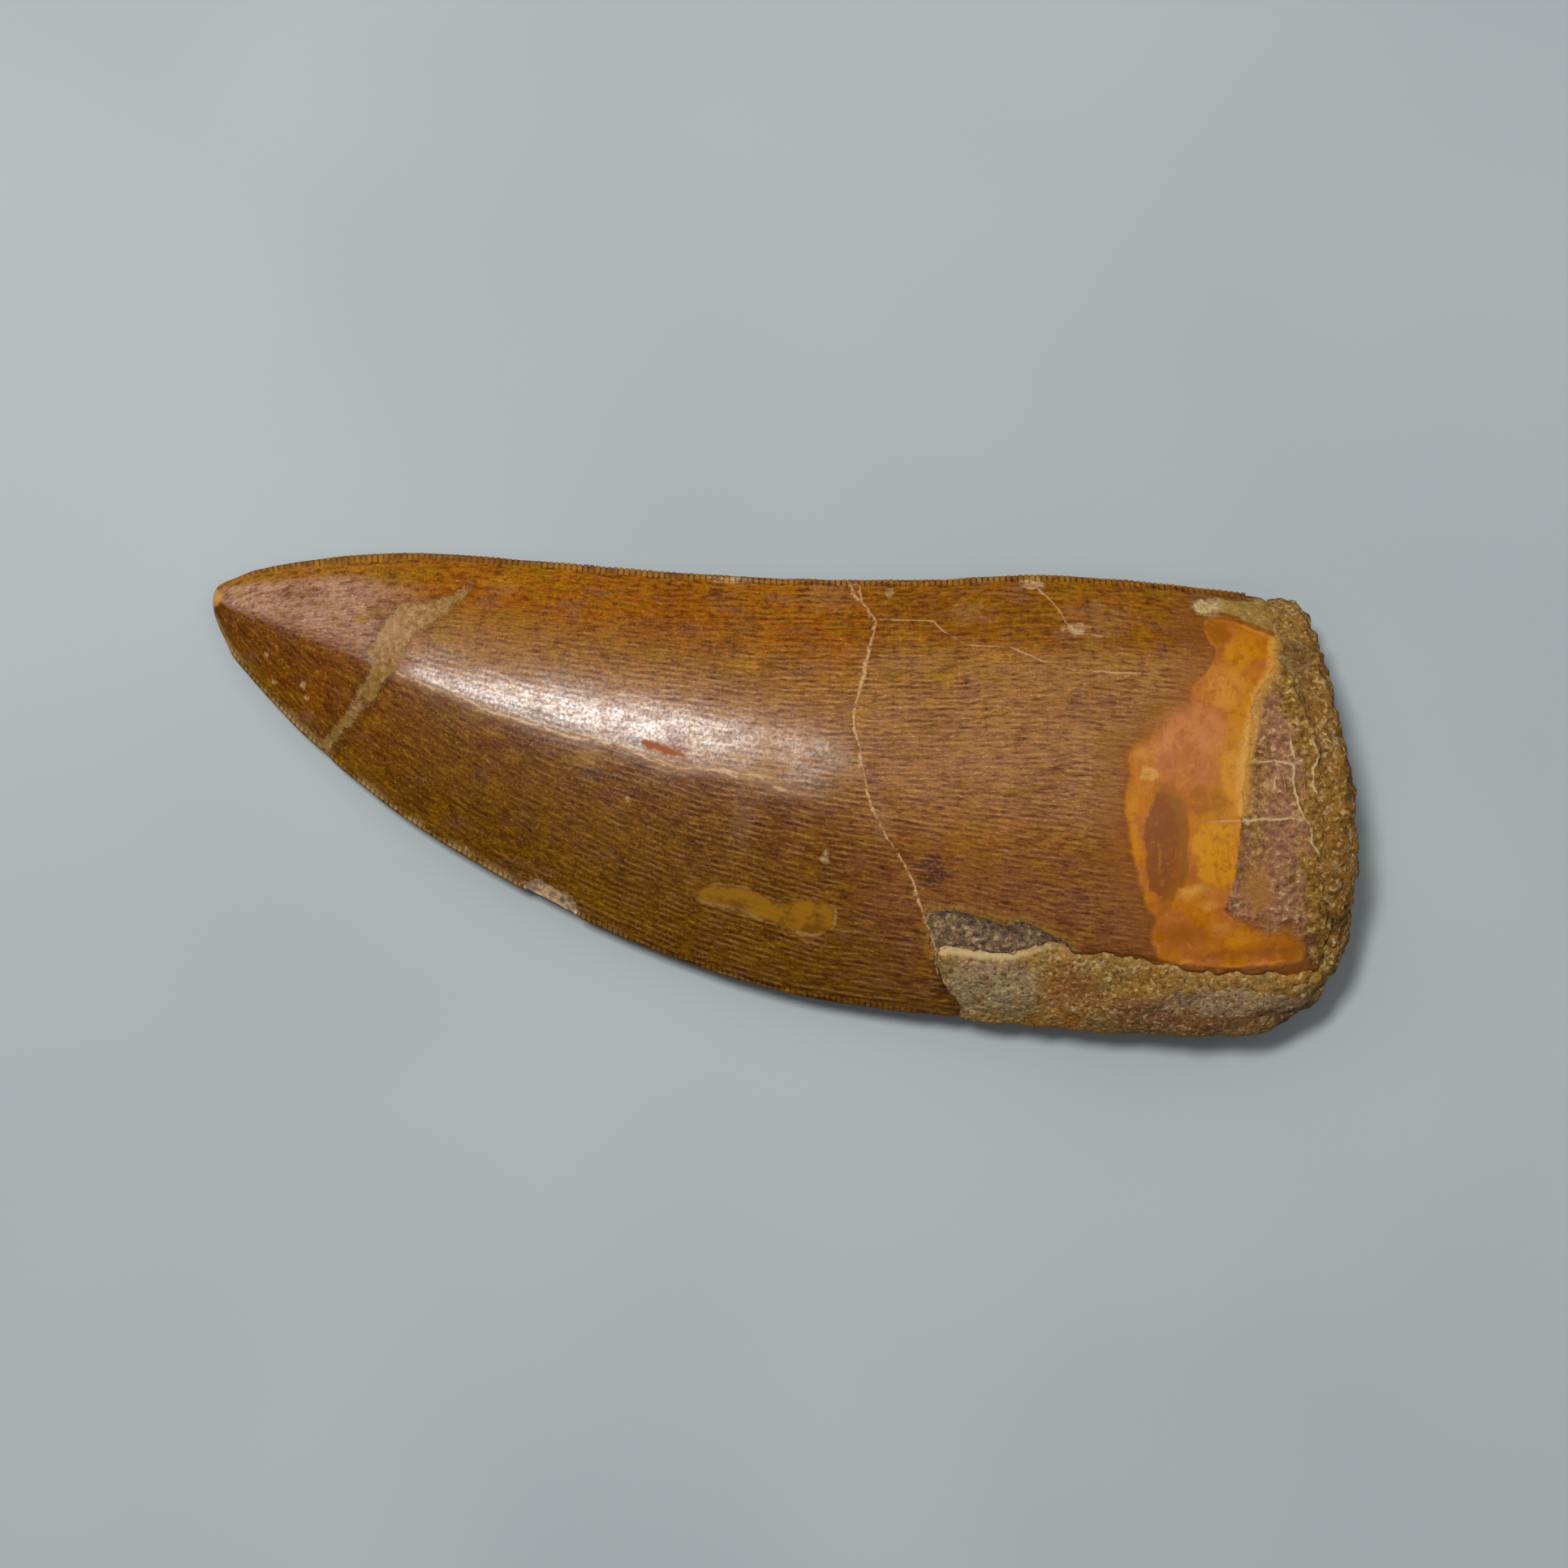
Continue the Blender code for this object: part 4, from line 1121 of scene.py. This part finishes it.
height = f.blend(dentine_mask, height, mottle * 0.4 + pebbles * 0.08)

vein_mask = f.line("veins", 0.03, 0.15, fuzz * 0.8) * dentine_mask * coarse.rise(0.34, 0.48, 0.35, 1.0)
colour = f.mix(vein_mask * 0.9, colour, CALCITE)
colour = f.mix(f.line("rim", 0.3, 0.9, fuzz * 1.6) * fine.rise(0.3, 0.6, 0.3, 0.8), colour, AMBER_CREAM)

joint_in = f.stored("joint") + fuzz * 1.8 + 0.25
joint_edge = joint_in.rise(-0.9, -0.3) * joint_in.rise(0.3, -0.1)
colour = f.mix(joint_edge * coarse.rise(0.38, 0.52) * 0.4, colour, LINE_SHADE, "MULTIPLY")
joint_mask = joint_in.rise(-0.2, 0.35) * coarse.rise(0.32, 0.46, 0.6, 1.0)
joint_colour = f.ramp(mottle * 2.2 - 0.6, *JOINT_MOTTLE)
joint_colour = f.mix(f.part(spot, 1).rise(-6, -10) * coarse.rise(0.40, 0.55) * 0.7, joint_colour, JOINT_OLIVE)
joint_colour = f.mix(f.near(shaken, (19.5, -3.0), (3.2, 2.6), 0.3) * 0.5, joint_colour, JOINT_PEACH)
colour = f.mix(joint_mask * fine.rise(0.30, 0.55, 0.5, 0.8), colour, joint_colour)
hollow_in = f.stored("hollow") + fuzz * 1.2
hollow_mask = hollow_in.rise(-0.15, 0.35)
colour = f.mix(hollow_in.rise(-1.1, 0.0) * fine.rise(0.35, 0.6) * 0.85, colour, HOLLOW_RIM)
colour = f.mix(hollow_mask, colour, f.ramp(pebbles * 0.4 + mottle * 2.0 - 0.70, *HOLLOW_MOTTLE))
dull = joint_mask.at_least(hollow_mask)
rough = f.blend(dull, rough, 0.85)
height = height + dull * (fine * 0.15 + mottle * 0.25)

chip_in = f.stored("chip") + fuzz * 0.7
chip_rim = chip_in.rise(-0.3, -0.08) * chip_in.rise(0.2, 0.02)
chip_colour = f.mix(f.clouds(spot, 2.2, 4, 0.6).rise(0.42, 0.62), CHIP_GOLD, CHIP_BROWN)
colour = f.mix(chip_in.rise(-0.1, 0.4) * 0.9, colour, chip_colour)
colour = f.mix(chip_rim * coarse.rise(0.40, 0.60) * 0.5, colour, CHIP_RIM)
nick_mask = (f.stored("nick") + fuzz * 1.8).rise(-0.2, 0.5)
colour = f.mix(nick_mask, colour, f.ramp(mottle * 2.2 - 0.6, *NICK_MOTTLE))
rough = f.blend(nick_mask, rough, 0.7)

gape = f.part(spot, 1).rise(-16, -5, 0.02, 0.07) + (coarse - 0.47) * 0.6
crack_line = f.line("crack", gape, 0.18, fuzz * 0.9)
colour = f.mix(crack_line * fine.rise(0.40, 0.58, 0.15, 0.95), colour, CRACK_TAN)
fine_line = f.line("cracks", (coarse - 0.50) * 0.5, 0.12, fuzz * 0.6)
colour = f.mix(fine_line * 0.7, colour, CRACK_TAN)
height = height - crack_line * 0.05 - fine_line * 0.03

colour = f.mix(f.near(shaken, (0.5, -0.2), (2.3, 2.3), 0.5) * 0.6, colour, LINE_SHADE, "MULTIPLY")
worn_tip = f.near(shaken, (-0.1, 0.3), (1.5, 1.7), 0.35) * fine.rise(0.2, 0.5, 0.65, 1.0)
colour = f.mix(worn_tip, colour, TIP_YELLOW)
plain = amber_mask.at_least(dentine_mask).at_least(dull).at_least(nick_mask)
shine = shine * (1 - plain) * (1 - fleck_mask)
crown_shader = f.shader(
    colour, rough, height, Coat_Weight=shine, Coat_Roughness=0.31, Coat_IOR=1.8,
    Specular_IOR_Level=0.12
)
crown_piece.data.materials.append(f.done(crown_shader))
print("crown finish has", len(f.tree.nodes), "nodes")

# %% [markdown]
# ## Sandstone finish
#
# The rock is sand grains in a lime cement: olive yellow on top, grey where it is clean, and rusty in
# patches. It has no gloss at all. Every grain has its own shade, and the low places of the relief are
# darkened as painted shade.

# %% Sandstone finish
ROCK_OLIVE = (0.29, 0.155, 0.030)
ROCK_GREY = (0.29, 0.200, 0.105)
ROCK_CLAY = (0.20, 0.076, 0.028)
ROCK_RUST = (0.30, 0.110, 0.020)
ROCK_OCHRE = (0.30, 0.145, 0.022)
ROCK_DARK = (0.075, 0.036, 0.010)
ROCK_PALE = (0.58, 0.43, 0.20)
ROCK_GOLD = (0.235, 0.105, 0.014)
ROCK_ORANGE = (0.36, 0.12, 0.012)
ROCK_UMBER = (0.17, 0.072, 0.030)
ROCK_PAINTED_SHEEN = (0.38, 0.29, 0.18)
ROCK_SPOTS = (
    ((86.0, -42.0), (7.0, 5.0), ROCK_GREY, 0.9, 0.5), ((94.6, -43.0), (4.6, 4.0), ROCK_RUST, 0.85, 0.4),
    ((93.6, -47.0), (4.0, 1.6), ROCK_ORANGE, 0.8, 0.4), ((108.0, -45.6), (11.0, 2.8), ROCK_CLAY, 0.9, 0.6),
    ((119.6, -45.4), (6.0, 2.8), ROCK_UMBER, 0.9, 0.5), ((123.0, -22.0), (7.0, 24.0), ROCK_GOLD, 0.9, 0.6),
    # Painted sheen: a pale grey band along the middle of the bottom crust stands for a soft highlight.
    ((112.0, -44.4), (12.0, 1.5), ROCK_PAINTED_SHEEN, 0.5, 0.3),
)

rock_finish = Finish("sandstone")
f = rock_finish
spot = f.stored_vector("spot")
shaken = f.shaken(f.shaken(spot, 2.5, 4.0), 0.7, 1.0)
broad = f.clouds(spot, 5, 3, 0.6)
patches = f.clouds(spot, 1.6, 4, 0.65)
grainy = f.clouds(spot, 0.45, 3, 0.75)
grain_shade = f.part(f.grains(spot, 0.38), 0) * 0.35 + grainy * 0.65
colour = f.mix(broad.rise(0.44, 0.60), ROCK_OLIVE, ROCK_OCHRE)
for centre, radii, tone, strength, inner in ROCK_SPOTS:
    colour = f.mix(f.near(shaken, centre, radii, inner) * strength, colour, tone)
colour = f.mix(patches.rise(0.54, 0.68) * 0.6, colour, ROCK_RUST)
colour = f.mix(patches.rise(0.46, 0.34) * 0.6, colour, ROCK_GREY)
colour = f.mix(grain_shade.rise(0.54, 0.74) * 0.7, colour, ROCK_PALE)
colour = f.mix(grain_shade.rise(0.46, 0.28) * 0.75, colour, ROCK_DARK)
# Painted shade: the low places of the relief are darkened.
colour = f.mix(f.stored("relief").rise(0.0, -0.45) * 0.5, colour, ROCK_DARK)
# Painted light: a pale strip just inside the sandstone's border, towards the blade, stands for its lit upper
# edge.
painted_lit_lip = (f.stored("rock") + (patches - 0.5) * 0.8).rise(-0.2, 0.0) * f.stored("rock").rise(0.28, 0.06)
colour = f.mix(painted_lit_lip * f.part(spot, 0).rise(94, 88, 0.1, 0.75), colour, ROCK_PALE)
height = patches * 0.3 + grainy * 0.22 - f.grains(spot, 0.38, "Distance") * 0.08
rock_piece.data.materials.append(f.done(f.shader(colour, 0.93, height, Specular_IOR_Level=0.2)))
print("sandstone finish has", len(f.tree.nodes), "nodes")

# %% [markdown]
# ## Floor, light and camera
#
# A pale floor and soft window light from the upper left bring out the lines of the enamel and lay
# one long highlight beside the crest. The camera looks straight along the normal of the blade, and
# the window stands where the crown mirrors it into the camera.

# %% Floor
PAPER_SHADE = (0.35, 0.40, 0.42)
PAPER_LIGHT = (0.39, 0.44, 0.46)
floor_bm = bmesh.new()
bmesh.ops.create_grid(floor_bm, x_segments=1, y_segments=1, size=1.5)
floor_mesh = bpy.data.meshes.new("floor")
floor_bm.to_mesh(floor_mesh)
floor_bm.free()
floor = bpy.data.objects.new("floor", floor_mesh)
bpy.context.scene.collection.objects.link(floor)
floor_finish = Finish("pale paper")
where = floor_finish.node("ShaderNodeTexCoord", None, None, "Object")
cloudy = floor_finish.clouds(where, 0.08, 2)
floor_colour = floor_finish.mix(cloudy.rise(0.3, 0.7), PAPER_SHADE, PAPER_LIGHT)
floor_mesh.materials.append(floor_finish.done(floor_finish.shader(floor_colour, 0.6, cloudy * 0.02)))
print("floor is", round(floor.dimensions.x, 1), "m wide")

# %% Camera
scene = bpy.context.scene
LENS = 85.0
SENSOR = 36.0
VIEW_WIDTH = 173.65
VIEW_CENTRE = (63.27, -20.31)
camera_data = bpy.data.cameras.new("camera")
camera_data.lens, camera_data.sensor_width = LENS, SENSOR
camera = bpy.data.objects.new("camera", camera_data)
eye = np.array([[*VIEW_CENTRE, VIEW_WIDTH * LENS / SENSOR]])
camera.location = ((eye @ TURN.T + SHIFT) * MM)[0]
camera.rotation_euler = (0, -REST_PITCH, 0)
scene.collection.objects.link(camera)
scene.camera = camera
print("camera at", [round(v, 3) for v in camera.location])

# %% Light
ROOM_TONE = (0.94, 0.95, 0.96, 1)
ROOM_STRENGTH = 0.05
WINDOW_SIZE = (0.16, 0.10)
WINDOW_POWER = 6.0
SKY_SIZE = (1.8, 1.8)
SKY_POWER = 7.0
HIGHLIGHT = (41.5, -12.6)
scene.view_settings.view_transform = "Standard"
world = bpy.data.worlds.new("pale room")
world.use_nodes = True
world.node_tree.nodes["Background"].inputs["Color"].default_value = ROOM_TONE
world.node_tree.nodes["Background"].inputs["Strength"].default_value = ROOM_STRENGTH
scene.world = world


def soft_light(name, aimed_at, direction, distance, size, power, colour):
    """An area light that shines on a place from a direction."""
    data = bpy.data.lights.new(name, "AREA")
    data.shape = "RECTANGLE"
    data.size, data.size_y = size
    data.energy, data.color = power, colour
    light = bpy.data.objects.new(name, data)
    away = Vector(direction).normalized()
    light.location = Vector(aimed_at) + away * distance
    light.rotation_euler = away.to_track_quat("Z", "Y").to_euler()
    scene.collection.objects.link(light)
    return light


marks_apart = np.where(crown.shown, np.linalg.norm(on_flank - HIGHLIGHT, axis=1), 99)
shining = np.argmin(marks_apart)
facing = Vector(normals_of(crown.mesh.copy(), lay_down(smooth_skin))[shining])
seen_from = (camera.location - Vector(lay_down(smooth_skin)[shining])).normalized()
mirrored = 2 * seen_from.dot(facing) * facing - seen_from
print("the crown mirrors the camera's view towards", [round(v, 2) for v in mirrored])
window = soft_light("window", (0, 0, 0.01), mirrored, 0.9, WINDOW_SIZE, WINDOW_POWER, (1.0, 0.99, 0.97))
sky = soft_light("sky", (0, 0, 0.01), (0.1, 0.3, 1.0), 1.2, SKY_SIZE, SKY_POWER, (1.0, 1.0, 1.0))
sky.visible_glossy = False
print("lights:", window.name, sky.name)
